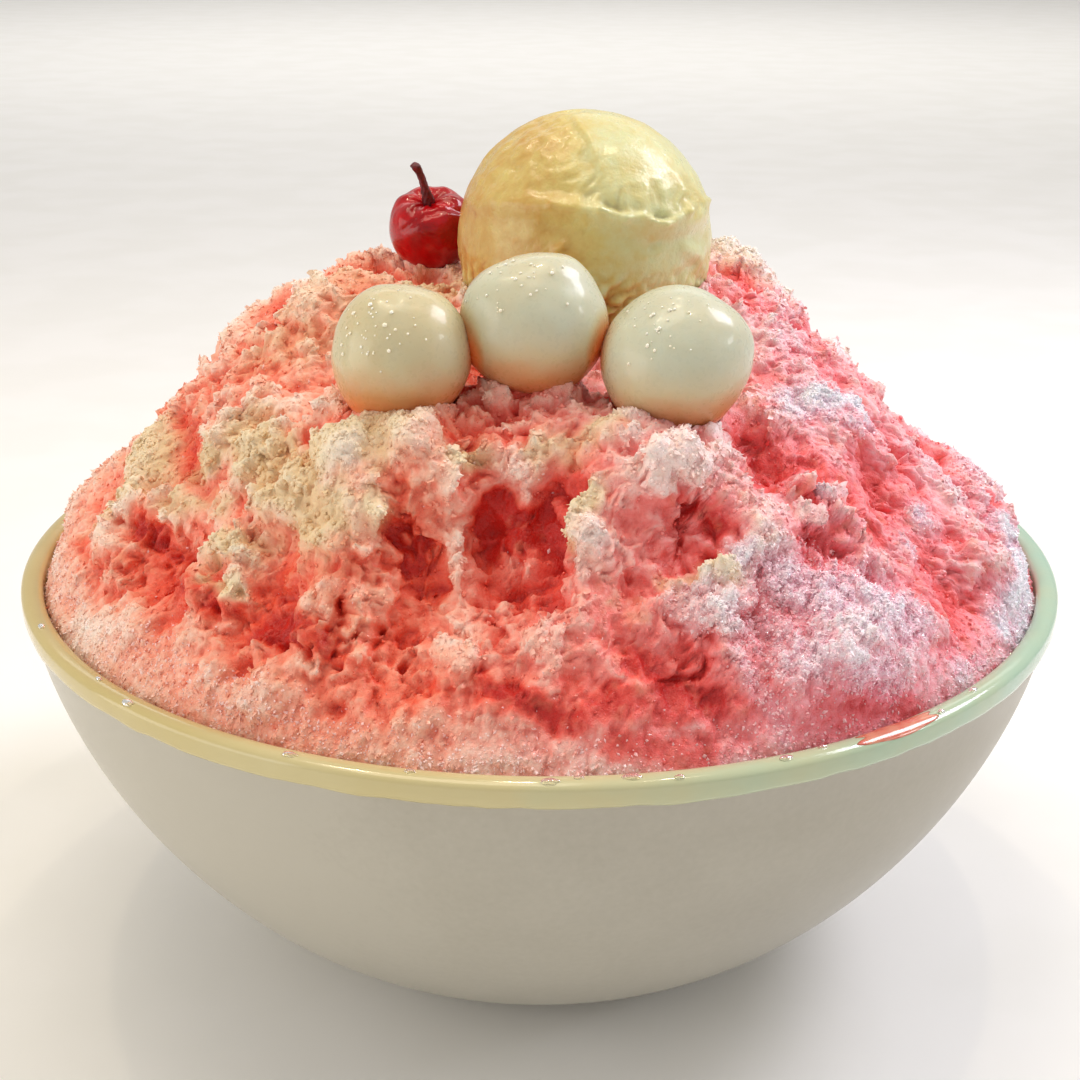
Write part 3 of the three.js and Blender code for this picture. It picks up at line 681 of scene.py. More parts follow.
class Finish:
    """A material under construction. Its settings are the shader's own constants, such as IOR=1.38."""

    def __init__(self, name, **settings):
        self.material = bpy.data.materials.new(name)
        self.material.use_nodes = True
        self.tree = self.material.node_tree
        self.shader = self.tree.nodes["Principled BSDF"]
        for socket, value in settings.items():
            self.shader.inputs[socket.replace("_", " ")].default_value = value
        self.place = self.add("ShaderNodeTexCoord").outputs["Object"]

    def add(self, kind, **settings):
        """A node with its settings, such as operation="ADD"."""
        node = self.tree.nodes.new(kind)
        for setting, value in settings.items():
            setattr(node, setting, value)
        return node

    def feed(self, socket, value):
        """Links a socket, or sets it to a number or a colour."""
        if isinstance(value, bpy.types.NodeSocket):
            self.tree.links.new(value, socket)
        else:
            socket.default_value = value

    def field(self, name):
        """One of the piece's own fields."""
        return self.add("ShaderNodeAttribute", attribute_name=name).outputs["Fac"]

    def noise(self, size, detail=3.0):
        """Noise from 0 to 1 with lumps of that size in millimetres."""
        texture = self.add("ShaderNodeTexNoise")
        texture.inputs["Scale"].default_value = 1 / (size * MM)
        texture.inputs["Detail"].default_value = detail
        self.feed(texture.inputs["Vector"], self.place)
        return texture.outputs["Fac"]

    def rightward(self):
        """How far to the right of the bowl's axis a point lies, in metres."""
        parts = self.add("ShaderNodeSeparateXYZ")
        self.feed(parts.inputs[0], self.place)
        return parts.outputs["X"]

    def cells(self, size):
        """Packed grains of that size in millimetres: 0 in the middle of each, larger in the gaps."""
        texture = self.add("ShaderNodeTexVoronoi")
        texture.inputs["Scale"].default_value = 1 / (size * MM)
        self.feed(texture.inputs["Vector"], self.place)
        return texture.outputs["Distance"]

    def math(self, operation, first, second=0.0, third=0.0, clamp=False):
        """One sum, such as MULTIPLY_ADD: first times second plus third."""
        node = self.add("ShaderNodeMath", operation=operation, use_clamp=clamp)
        for socket, value in zip(node.inputs, (first, second, third)):
            self.feed(socket, value)
        return node.outputs["Value"]

    def blend(self, start, *terms):
        """start plus the sum of each (socket, gain, middle) term: (socket - middle) * gain."""
        for socket, gain, middle in terms:
            start = self.math("MULTIPLY_ADD", self.math("SUBTRACT", socket, middle), gain, start)
        return start

    def ramp(self, factor, stops):
        """Colours along a line. Each stop is its place and its red, green and blue."""
        node = self.add("ShaderNodeValToRGB")
        elements = node.color_ramp.elements
        while len(elements) < len(stops):
            elements.new(0.5)
        for element, (place, *colour) in zip(elements, stops):
            element.position = place
            element.color = screen(*colour)
        self.feed(node.inputs["Fac"], factor)
        return node.outputs["Color"]

    def mix(self, factor, first, second):
        """The first colour where the factor is 0, and the second where it is 1."""
        node = self.add("ShaderNodeMix", data_type="RGBA")
        self.feed(node.inputs["Factor"], factor)
        colours = [socket for socket in node.inputs if socket.type == "RGBA"]
        self.feed(colours[0], first)
        self.feed(colours[1], second)
        return [socket for socket in node.outputs if socket.type == "RGBA"][0]

    def bump(self, height, depth, strength=1.0):
        """Small relief of that depth in millimetres."""
        node = self.add("ShaderNodeBump")
        node.inputs["Distance"].default_value = depth * MM
        node.inputs["Strength"].default_value = strength
        self.feed(node.inputs["Height"], height)
        return node.outputs["Normal"]

    def done(self, colour=None, roughness=None, normal=None):
        """The material, once its three most used sockets are fed."""
        for name, value in (("Base Color", colour), ("Roughness", roughness), ("Normal", normal)):
            if value is not None:
                self.feed(self.shader.inputs[name], value)
        return self.material


print("the grey 128 of a screen is", round(screen(128, 128, 128)[0], 3), "in linear light")

# %% [markdown]
# ## The look of the ice
# Wet ice lets light in, so ice soaked with syrup glows deep red in the hollows while a crest of the same ice
# looks pink. That glow, and the shade in the hollows, are painted into the colour: it follows how soaked the
# ice is plus how deeply it is sunken. Two colour ramps turn that one number into pinks and reds. They are
# warmer towards the left and pinker towards the right, which is painted warm light from the left and cool
# light from the right. Milk has a ramp of its own, from cream in the light to peach in painted shade. Bare ice
# is white, warm on the left and with a trace of lavender on the right, which is again painted warm and cool
# light. Scattered bits use the same network as the heap below them, so they take its colours.

# %% Ice finish
# Syrup from dry to soaked. The warm ramp serves the left and the cool one the right, which is painted warm and
# cool light. The dark ends are reached in sunken ice, which is painted shade.
SOAKED_WARM_LIT = (  # place along the ramp, red, green, blue
    (0.00, 254, 240, 232), (0.20, 254, 218, 202), (0.38, 252, 184, 160),
    (0.55, 248, 138, 112), (0.76, 236, 88, 62), (1.00, 196, 34, 22),
)
SOAKED_COOL_LIT = (
    (0.00, 254, 242, 246), (0.20, 254, 224, 228), (0.38, 253, 192, 198),
    (0.55, 252, 150, 158), (0.76, 241, 100, 102), (1.00, 202, 46, 46),
)
# Milk, from cream where it stands out to peach where it is sunken. This is painted shade, with noise adding
# the milk's own tone.
CREAM_AND_SHADE = (0.00, 240, 220, 186), (0.35, 232, 200, 156), (0.62, 220, 162, 118), (1.00, 218, 100, 72)
# Bare ice is warm white on the left and bluish white on the right: painted warm and cool light.
FROSTED_WARM_LIT = (
    (0.00, 250, 243, 236), (0.20, 246, 222, 209), (0.45, 238, 178, 156), (0.70, 230, 140, 114),
    (1.00, 220, 80, 62),
)
FROSTED_COOL_LIT = (
    (0.00, 245, 248, 255), (0.17, 251, 236, 248), (0.34, 250, 204, 220), (0.60, 244, 158, 176),
    (1.00, 230, 96, 106),
)
CLEAR_ICE = screen(255, 246, 250)


def ice_finish(name, rough, clear=0.0, depth_of_light=0.0):
    """Ice, from its four fields. It is glossier where rough is low and where it is bare, and clear lifts
    its colour towards white. Loose bits have no depth of light, and are too small for a bump."""
    finish = Finish(name, Subsurface_Weight=depth_of_light, Subsurface_Scale=0.0025, IOR=1.38,
                    Subsurface_Radius=(1.0, 0.5, 0.42))
    coarse, small, grain = finish.noise(3.0, 2.0), finish.noise(0.9, 2.0), finish.noise(0.3, 1.0)
    packed = finish.cells(1.2)
    # The sunken-ice field paints shade into the colour: it deepens the soak and turns the cream peach.
    hollow = finish.field("hollow")
    soak = finish.blend(finish.field("syrup"), (hollow, 0.22, 0.0), (coarse, 0.24, 0.5),
                        (small, 0.14, 0.5), (packed, 0.12, 0.45))
    middle = finish.blend(0.3, (coarse, 0.4, 0.5))
    # Towards the right the cool-lit ramps take over: painted warm light on the left and cool light on the
    # right.
    side = finish.math("MULTIPLY_ADD", finish.rightward(), 14.0, middle, clamp=True)
    syrup = finish.mix(side, finish.ramp(soak, SOAKED_WARM_LIT), finish.ramp(soak, SOAKED_COOL_LIT))
    # Painted shade on the milk: the ramp's place follows how sunken the ice is.
    depth = finish.blend(0.33, (hollow, 0.24, 0.0), (coarse, 0.3, 0.5), (packed, 0.12, 0.45))
    cream = finish.ramp(depth, CREAM_AND_SHADE)
    chill = finish.blend(soak, (packed, 0.15, 0.45))
    frost = finish.mix(side, finish.ramp(chill, FROSTED_WARM_LIT), finish.ramp(chill, FROSTED_COOL_LIT))
    milk = finish.blend(finish.field("milk"), (coarse, 0.7, 0.5), (hollow, -0.08, 0.0))
    bare = finish.blend(finish.field("bare"), (small, 0.5, 0.5), (grain, 0.5, 0.5))
    milk = finish.math("MULTIPLY", milk, 1.15, clamp=True)
    bare = finish.math("MULTIPLY", bare, 1.0, clamp=True)
    colour = finish.mix(bare, finish.mix(milk, syrup, cream), frost)
    if clear:
        colour = finish.mix(clear, colour, CLEAR_ICE)
    roughness = finish.blend(rough, (milk, 0.2, 0.0), (bare, -0.12, 0.0), (grain, 0.4, 0.5))
    if not depth_of_light:
        return finish.done(colour, roughness)
    height = finish.blend(small, (grain, 0.6, 0.5))
    return finish.done(colour, roughness, finish.bump(height, 0.4, 0.65))


heap_finish = ice_finish("wet_shaved_ice", rough=0.36, depth_of_light=0.08)
flake_finish = ice_finish("ice_flakes", rough=0.22)
crystal_finish = ice_finish("ice_crystals", rough=0.1, clear=0.45)
print("ice finishes:", heap_finish.name, flake_finish.name, crystal_finish.name)

# %% [markdown]
# ## The heap as two closed pieces
# A surface this fine has too many triangles for one piece, so the heap is split where a vertical plane
# cuts it from left to right. Each half is closed: down along the bowl's wall, across the floor, and by
# a flat wall where the halves meet. That meeting edge is marked sharp, so the hidden wall doesn't
# darken the shading beside it.

# %% Heap
SKIRT_LEVELS, SKIRT_TOP, SKIRT_REACH = 4, 0.1, 0.75
APEX_HEIGHT = BOWL_HEIGHT * 0.7
HIDDEN_FIELD = 0.5  # the value of every field inside the bowl and on the dividing wall


def wall_curve(t, top_radius, base_height):
    """The bowl's wall from its lip, t = 0, to its foot, t = 1: the radius falls as a power of the cosine
    and the height as one minus a power of the sine of a quarter turn."""
    angle = t * math.pi / 2
    radius = BASE_RADIUS + (top_radius - BASE_RADIUS) * np.cos(angle) ** BELLY_OUT
    return radius, base_height + (BOWL_HEIGHT - base_height) * (1 - np.sin(angle) ** BELLY_DOWN)


def skirt(ring, angles, count):
    """Rings down the bowl's wall from the heap's edge: points, triangles and each ring's corners."""
    points, triangles, rings = [], [], []
    for level in range(1, SKIRT_LEVELS + 1):
        share = SKIRT_TOP + SKIRT_REACH * level / SKIRT_LEVELS
        radius, height = wall_curve(share, ICE_RADIUS, FLOOR + ICE_GAP)
        points.append(np.stack([radius * np.cos(angles), radius * np.sin(angles), height + 0 * angles], 1))
        below = count + np.arange(len(ring))
        triangles.append(np.stack([ring[:-1], below[:-1], below[1:]], 1))
        triangles.append(np.stack([ring[:-1], below[1:], ring[1:]], 1))
        ring, count = below, count + len(ring)
        rings.append(ring)
    return points, triangles, rings


def sharpen(piece, columns):
    """Marks the edges along the first row of a piece's grid as sharp."""
    ends = np.empty(2 * len(piece.data.edges), dtype=np.int32)
    piece.data.edges.foreach_get("vertices", ends)
    ends = ends.reshape(-1, 2)
    sharp = (ends.max(axis=1) < columns) & (np.ptp(ends, axis=1) == 1)
    piece.data.attributes.new("sharp_edge", "BOOLEAN", "EDGE").data.foreach_set("value", sharp)


def heap_half(name, front):
    """One half of the heap: from its row of points on the dividing plane outwards, down the skirt, and
    closed by a fan across the floor and another across the dividing plane."""
    rows = slice(BACK_ROWS, None) if front else slice(BACK_ROWS, None, -1)
    top = surface[rows]
    index = np.arange(top.shape[0] * top.shape[1]).reshape(top.shape[:2])
    edge = np.concatenate([index[:-1, 0], index[-1, :-1], index[::-1, -1]])
    grid = top.reshape(-1, 3)
    angles = np.arctan2(grid[edge, 1], grid[edge, 0])
    points, triangles, rings = skirt(edge, angles, index.size)
    lowest = rings[-1]
    centre, apex = lowest[-1] + 1, lowest[-1] + 2
    triangles.append(np.stack([lowest[:-1], np.full(len(lowest) - 1, centre), lowest[1:]], 1))
    left, right = [ring[0] for ring in rings], [ring[-1] for ring in rings]
    loop = np.concatenate([index[0], right, [centre], left[::-1], index[0, :1]])
    triangles.append(np.stack([np.full(len(loop) - 1, apex), loop[:-1], loop[1:]], 1))
    points = np.concatenate([grid, *points, [[0, 0, FLOOR + ICE_GAP], [0, 0, APEX_HEIGHT]]])
    triangles = np.concatenate([grid_triangles(*top.shape[:2]), *triangles])
    hidden = np.full(len(points) - index.size, HIDDEN_FIELD)
    fields = {key: np.concatenate([values[rows].ravel(), hidden]) for key, values in surface_fields.items()}
    if not front:
        triangles = triangles[:, ::-1]
    piece = make_piece(name, points, triangles, heap_finish, ["shaved_ice"], fields=fields)
    sharpen(piece, index.shape[1])
    return piece


heap_half("shaved_ice_front", front=True)
heap_half("shaved_ice_back", front=False)

# %% [markdown]
# ## Flakes, shards, crumbs and crystals
# Up close the heap's skin is made of loose bits: thin curled shavings that stand up at its edges, flat
# splinters, soft crumbs, and clear grains that glitter. A random draw, from a fixed seed, picks their
# places on the heap's own triangles, most of them on the guest's side.

# %% Places on the heap
heap_triangles = grid_triangles(*surface.shape[:2])
heap_corners = surface.reshape(-1, 3)[heap_triangles]
heap_areas = np.linalg.norm(
    np.cross(heap_corners[:, 1] - heap_corners[:, 0], heap_corners[:, 2] - heap_corners[:, 0]), axis=1
) / 2
smoothed = np.stack([blurred(surface[..., axis], 3) for axis in range(3)], axis=-1)
heap_normals = grid_normals(smoothed).reshape(-1, 3)
heap_fields = {key: values.ravel()[heap_triangles].mean(axis=1) for key, values in surface_fields.items()}
heap_middles = heap_corners.mean(axis=1)
seen = 1 - 0.72 * smoothstep(heap_middles[:, 1], 8, 45)
for centre, radius, *_ in TOPPINGS:
    seen *= np.linalg.norm(heap_middles - centre, axis=1) > radius + 0.3

crested = smoothstep(-heap_fields["hollow"], 0.1, 1.0)
grainy = np.clip(heap_fields["bare"], 0, 1)
pale = 1 - 0.85 * smoothstep(heap_fields["syrup"], 0.5, 0.8)
milky = np.clip(heap_fields["milk"], 0, 1)


def draw_places(count, liking, draws):
    """Random places: a triangle is drawn in proportion to its area times its liking, and a place in it
    by two more draws, folded back where they leave the triangle. Also gives normals and fields."""
    chances = np.cumsum(heap_areas * seen * liking)
    chosen = np.searchsorted(chances, draws.random(count) * chances[-1])
    u, v = draws.random((2, count))
    u, v = np.where(u + v > 1, (1 - u, 1 - v), (u, v))
    a, b, c = np.moveaxis(heap_corners[chosen], 1, 0)
    places = a + u[:, None] * (b - a) + v[:, None] * (c - a)
    normals = heap_normals[heap_triangles[chosen, 0]]
    return places, normals, {key: values[chosen] for key, values in heap_fields.items()}


print(len(heap_triangles), "triangles to draw from,", round(heap_areas.sum() / 100), "square centimetres")

# %% [markdown]
# ### Copies of a small shape
# Each kind is one small closed shape of a few triangles, copied thousands of times as arrays, and each
# copy is turned, bent and scaled on its own. Objects linked to one mesh would be lighter, but the part
# needs one mesh for each kind.

# %% Copies of a small shape
def turned_frames(normals, tilt, draws):
    """Three axes for each copy, as an (n, 3, 3) array: the third leans away from the surface's normal by
    its tilt, towards a random side, and the first lies between the two."""
    side = unit(np.cross(normals, draws.normal(size=normals.shape)))
    third = np.cos(tilt)[:, None] * normals + np.sin(tilt)[:, None] * side
    second = unit(np.cross(third, normals))
    return np.stack([np.cross(second, third), second, third], axis=1)


def copies(shapes, shape_triangles, frames, places):
    """Points and triangles of many copies: each one's own (k, 3) shape, carried by its frame to its
    place."""
    count, corners = shapes.shape[:2]
    points = places[:, None] + np.einsum("nki,nij->nkj", shapes, frames)
    triangles = (np.arange(count) * corners)[:, None, None] + shape_triangles
    return points.reshape(-1, 3), triangles.reshape(-1, 3)


def strew(name, spots, size, shapes, shape_triangles, draws, lean, lift, finish, lit_tip_share, smooth=False):
    """One piece of copies on the heap. Each leans by a random angle, and its middle is lifted by a share of
    its size. The parts that stand out furthest count as the least sunken, so they are coloured palest: painted
    light on the tips."""
    places, normals, fields = spots
    corners = shapes.shape[1]
    frames = turned_frames(normals, draws.uniform(*lean, len(shapes)), draws)
    places = places + normals * (lift * size)[:, None]
    points, triangles = copies(shapes, shape_triangles, frames, places)
    out = shapes[..., 0] / np.abs(shapes[..., 0]).max(axis=1, keepdims=True)
    spread = {key: np.repeat(values, corners) for key, values in fields.items()}
    # Painted light: the tips are coloured paler than the base.
    spread["hollow"] = spread["hollow"] - lit_tip_share * out.ravel()
    return make_piece(name, points, triangles, finish, ["shaved_ice"], smooth=smooth,
                      fields=spread)

# %% [markdown]
# ### Flakes
# The blade of an ice shaver peels off thin curls. They lie on crests that the syrup hasn't soaked, and
# most are small, with a few large ones among them: that is what the fourth power does.

# %% Flakes: thin curled shavings
FLAKE_SIDES, FLAKE_COUNT = 6, 8000
FLAKE_LONG, FLAKE_WIDE, FLAKE_THICK = 1.25, 0.85, 0.14  # in shares of its size
FLAKE_LEAST, FLAKE_MORE = 0.22, 0.68


def flakes():
    """A flake is a ragged hexagon, z = curl x^2, with a pole a little above and below its middle."""
    draws = np.random.default_rng(7)
    liking = (0.03 + 0.6 * crested**1.5) * (1 - 0.6 * grainy) * (1 - 0.6 * milky) * pale
    spots = draw_places(FLAKE_COUNT, liking, draws)
    angles = 2 * math.pi * np.arange(FLAKE_SIDES) / FLAKE_SIDES
    reach = draws.uniform(0.45, 1.25, (FLAKE_COUNT, FLAKE_SIDES))
    x, y = FLAKE_LONG * reach * np.cos(angles), FLAKE_WIDE * reach * np.sin(angles)
    rim = np.stack([x, y, 0 * reach], axis=2)
    rim[..., 2] = draws.uniform(-0.5, 0.5, (FLAKE_COUNT, 1)) * rim[..., 0] ** 2
    rim[..., 2] += draws.normal(0, 0.1, rim.shape[:2])
    poles = np.zeros((FLAKE_COUNT, 2, 3))
    poles[:, 0, 2], poles[:, 1, 2] = FLAKE_THICK, -FLAKE_THICK
    size = FLAKE_LEAST + FLAKE_MORE * draws.random(FLAKE_COUNT) ** 4
    size *= 1 - 0.35 * np.clip(spots[2]["bare"], 0, 1)
    shapes = np.concatenate([rim, poles], axis=1) * size[:, None, None]
    side = np.arange(FLAKE_SIDES)
    after = (side + 1) % FLAKE_SIDES
    top, bottom = np.full(FLAKE_SIDES, FLAKE_SIDES), np.full(FLAKE_SIDES, FLAKE_SIDES + 1)
    shape_triangles = np.concatenate([np.stack([top, side, after], 1), np.stack([bottom, after, side], 1)])
    return strew("ice_flakes", spots, size, shapes, shape_triangles, draws, (0.1, 1.2), 0.1, flake_finish,
                 0.2)


flakes()

# %% [markdown]
# ### Shards
# Splinters lie on crests and bare ice, and stand out of the surface at their own angles. An octahedron
# drawn out and flattened has a splinter's flat glinting faces.

# %% Shards: small flat splinters
OCTAHEDRON = np.array([(1, 0, 0), (-1, 0, 0), (0, 1, 0), (0, -1, 0), (0, 0, 1), (0, 0, -1)], dtype=float)
OCTAHEDRON_TRIANGLES = np.array(
    [(0, 2, 4), (2, 1, 4), (1, 3, 4), (3, 0, 4), (2, 0, 5), (1, 2, 5), (3, 1, 5), (0, 3, 5)]
)
SHARD_COUNT = 14000


def splinters(name, count, seed, liking, sizes, long, flat, lean, lift, finish, lit_tip_share):
    """Octahedra drawn out along one axis and flattened along another, each corner a little in or out.
    Most are near the smaller of the two sizes."""
    draws = np.random.default_rng(seed)
    spots = draw_places(count, liking, draws)
    size = sizes[0] + sizes[1] * draws.random(count) ** 2
    stretch = np.stack([draws.uniform(*long, count), np.ones(count), draws.uniform(*flat, count)], axis=1)
    shapes = OCTAHEDRON * draws.uniform(0.75, 1.25, (count, 6, 1)) * (stretch * size[:, None])[:, None]
    return strew(name, spots, size, shapes, OCTAHEDRON_TRIANGLES, draws, lean, lift, finish, lit_tip_share)


splinters(
    "ice_shards", SHARD_COUNT, 10, (0.06 + 0.3 * crested + grainy) * (1 - 0.5 * milky) * pale,
    (0.16, 0.26), (1.2, 2.4), (0.25, 0.5), (0.1, 0.9), 0.15, flake_finish, 0.15,
)

# %% [markdown]
# ### Crumbs
# Crumbs are soft lumps of wet ice, on crests and above all where the milk lies. An icosahedron with
# smooth shading is round enough at this size.

# %% Crumbs: soft lumps
def icosahedron():
    """Twelve corners (0, 1, golden ratio) in every cyclic order and sign, and the triangles between
    corners one edge apart, found from their distances."""
    golden = (1 + 5**0.5) / 2
    corners = np.array([
        np.roll((0, one, two * golden), turn) for turn in range(3) for one in (-1, 1) for two in (-1, 1)
    ])
    near = np.linalg.norm(corners[:, None] - corners, axis=2) < 2.1
    triples = [(a, b, c) for a in range(12) for b in range(12) for c in range(12)
               if a < min(b, c) and b != c and near[a, b] and near[b, c] and near[c, a]]
    outward = [t for t in triples if np.linalg.det(corners[list(t)]) > 0]
    return unit(corners), np.array(outward)


CRUMB_COUNT = 9000
CRUMB_LEAST, CRUMB_MORE, CRUMB_MILKY = 0.2, 0.35, 0.15  # crumbs in milk are larger by the last
CRUMB_SHAPE = (1.25, 1.0, 0.8)


def crumbs():
    """A crumb is an icosahedron whose corners are pulled in or out by up to a third."""
    draws = np.random.default_rng(8)
    liking = (0.15 + 0.5 * crested + 0.4 * milky) * pale
    spots = draw_places(CRUMB_COUNT, liking, draws)
    corners, shape_triangles = icosahedron()
    size = CRUMB_LEAST + CRUMB_MORE * draws.random(CRUMB_COUNT) ** 4
    size = size + CRUMB_MILKY * np.clip(spots[2]["milk"], 0, 1)
    shapes = corners * draws.uniform(0.66, 1.33, (CRUMB_COUNT, 12, 1)) * CRUMB_SHAPE
    shapes = shapes * size[:, None, None]
    return strew("ice_crumbs", spots, size, shapes, shape_triangles, draws, (0, 1.5), 0.05, flake_finish,
                 0.15, smooth=True)


crumbs()

# %% [markdown]
# ### Crystals
# Where the ice is bare its grains are clear and glossy. They are thicker than shards, and there are
# more of them, so that the bare ice glitters.

# %% Crystals: clear grains
CRYSTAL_COUNT = 22000

splinters(
    "ice_crystals", CRYSTAL_COUNT, 9, (0.002 + grainy**2) * pale,
    (0.14, 0.22), (1.1, 2.2), (0.4, 0.8), (0, 1.5), 0.2, crystal_finish, 0.2,
)

# %% [markdown]
# ## Closed surfaces from rings
# The bowl, the toppings and the drops are all rings of points that follow each other from one pole to
# the other. One helper closes such a stack of rings, so a shape only has to say where its rings lie.

# %% Rings and balls
def close_rings(rings, first, last):
    """Points and triangles of a closed surface. Seen from outside, each ring lies below the one before
    it and its points run to the right; the two poles close the ends."""
    count, around = rings.shape[:2]
    points = np.concatenate([rings.reshape(-1, 3), [first, last]])
    here = np.arange(around)
    after = (here + 1) % around
    top = np.stack([np.full(around, count * around), here, after], 1)
    lowest = (count - 1) * around
    bottom = np.stack([np.full(around, count * around + 1), lowest + after, lowest + here], 1)
    return points, np.concatenate([grid_triangles(count, around, closed=True), top, bottom])


def ball_directions(rings, around):
    """Unit directions of a ball's rings, from its top down, with the two poles last."""
    latitude = math.pi / 2 - math.pi * np.arange(1, rings + 1) / (rings + 1)
    azimuth = 2 * math.pi * np.arange(around) / around
    level, turn = np.meshgrid(latitude, azimuth, indexing="ij")
    ring = np.stack([np.cos(level) * np.cos(turn), np.cos(level) * np.sin(turn), np.sin(level)], axis=-1)
    return np.concatenate([ring.reshape(-1, 3), [[0, 0, 1], [0, 0, -1]]])


def ball_triangles(rings, around):
    """The triangles that close_rings gives for a ball of that many rings."""
    return close_rings(np.zeros((rings, around, 3)), np.zeros(3), np.zeros(3))[1]


def toward(azimuth, latitude):
    """The unit direction at an azimuth and a latitude in degrees."""
    turn, level = math.radians(azimuth), math.radians(latitude)
    return np.array([math.cos(level) * math.cos(turn), math.cos(level) * math.sin(turn), math.sin(level)])


def ball_marks(directions, marks):
    """Ridges and dents on a ball: each runs between two directions, and its rise falls off as a bell
    curve of the distance from that line, in widths."""
    rise = np.zeros(len(directions))
    for from_azimuth, from_latitude, to_azimuth, to_latitude, width, height in marks:
        start, end = toward(from_azimuth, from_latitude), toward(to_azimuth, to_latitude)
        rise += height * np.exp(-((segment_distance(directions, start, end) / width) ** 2))
    return rise


print("a ball of 80 rings has", len(ball_triangles(80, 120)), "triangles")

# %% [markdown]
# ## Bowl
# A thrown bowl is a profile turned about its axis. The body is left satin and off-white outside. The
# glaze inside was poured, and runs over the lip in a thick glossy band whose lower edge wavers a
# little. A field marks where the glaze is, and the finish changes there.

# %% Bowl finish
# The body's colours are greyer than its off-white: painted shade. The ramp's darker end lies to the right,
# which is more painted shade.
BODY_COLOURS_SHADED = (0.1, 152, 145, 129), (0.6, 183, 178, 164)
# The glaze goes from yellow cream, as under warm light on the left, to mint, as under cool light on the right:
# painted light.
GLAZE_WARM_TO_COOL_LIT = (0.0, 196, 176, 112), (0.45, 204, 192, 144), (0.8, 172, 198, 174), (1.0, 152, 196, 180)
BODY_ROUGHNESS, GLAZE_GAIN = 0.46, -0.34


def bowl_finish():
    """Body and glaze, parted by the glaze's field. The body is greyer than its off-white and darker to the
    right: painted shade. The glaze runs from yellow cream on the left to mint on the right: painted warm and
    cool light, over a clouded tone of its own.
    """
    finish = Finish("satin_and_glaze", Coat_Weight=0.25, Coat_Roughness=0.06)
    glaze = finish.field("glaze")
    cloudy, fine = finish.noise(38.0, 2.0), finish.noise(1.4, 4.0)
    x = finish.rightward()
    # Painted shade: the body is darker towards the right.
    body = finish.blend(0.5, (x, -3.0, 0.0), (cloudy, 0.4, 0.5), (fine, 0.2, 0.5))
    # Painted warm light on the left and cool light on the right: the glaze turns from yellow cream to mint.
    cream = finish.blend(0.5, (x, 3.6, 0.0), (cloudy, 0.5, 0.5), (finish.noise(6.0), 0.12, 0.5))
    colour = finish.mix(glaze, finish.ramp(body, BODY_COLOURS_SHADED), finish.ramp(cream, GLAZE_WARM_TO_COOL_LIT))
    roughness = finish.blend(BODY_ROUGHNESS, (glaze, GLAZE_GAIN, 0.0), (fine, 0.06, 0.5))
    return finish.done(colour, roughness, finish.bump(fine, 0.12, 0.25))


glaze_finish = bowl_finish()
print("bowl finish:", glaze_finish.name)

# %% [markdown]
# ### The bowl's profile
# The profile runs up the inner wall, over the lip, down the band and the outer wall, and under the foot
# ring. Turned about the axis it makes rings, and the band's lower edge is lifted and lowered by noise.

# %% Bowl
BOWL_AROUND, WALL_RINGS, LIP_RINGS = 256, 64, 17
LIP_HALF = (LIP_RADIUS - INNER_RADIUS) / 2
BAND_EDGE = BOWL_HEIGHT - BAND_DEPTH
WAVER_DEPTH, WAVER_WIDTH = 1.2, 1.3  # the part of the band that wavers: how far up, and how far in


def bowl_profile():
    """Radius, height and glaze of each ring: up the inner wall, over the elliptical lip, down the band
    and the outer wall, and under the foot ring."""
    inner = np.stack(wall_curve(np.linspace(0.985, 0.03, WALL_RINGS), INNER_RADIUS, FLOOR), axis=1)
    turn = np.radians(np.linspace(180, 0, LIP_RINGS))
    lip_height = BOWL_HEIGHT - LIP_SQUASH * LIP_HALF * (1 - np.sin(turn))
    lip = np.stack([INNER_RADIUS + LIP_HALF * (1 + np.cos(turn)), lip_height], 1)
    band = np.array([
        (LIP_RADIUS, BAND_EDGE + 2.0), (LIP_RADIUS - 0.05, BAND_EDGE + 1.0),
        (LIP_RADIUS - 0.25, BAND_EDGE + 0.35), (LIP_RADIUS - 0.6, BAND_EDGE),
        (OUTER_RADIUS + 0.1, BAND_EDGE - 0.2), (OUTER_RADIUS - 0.15, BAND_EDGE - 0.5),
    ])
    outer = np.stack(wall_curve(np.linspace(0.14, 1, WALL_RINGS), OUTER_RADIUS, BASE_HEIGHT), axis=1)
    ring = FOOT_RADIUS - FOOT_WIDTH
    foot = np.array([
        (FOOT_RADIUS + 0.3, 0.85), (FOOT_RADIUS, 0.5), (FOOT_RADIUS - 0.2, 0.15), (FOOT_RADIUS - 0.6, 0),
        (ring + 0.8, 0), (ring + 0.4, 0.3), (ring, FOOT_RECESS - 0.2), (ring - 0.4, FOOT_RECESS),
        (ring - 8, FOOT_RECESS), (6, FOOT_RECESS),
    ])
    profile = np.concatenate([inner, lip, band, outer, foot])
    glazed = np.arange(len(profile)) < len(inner) + len(lip) + len(band) - 1
    return profile, glazed.astype(float)


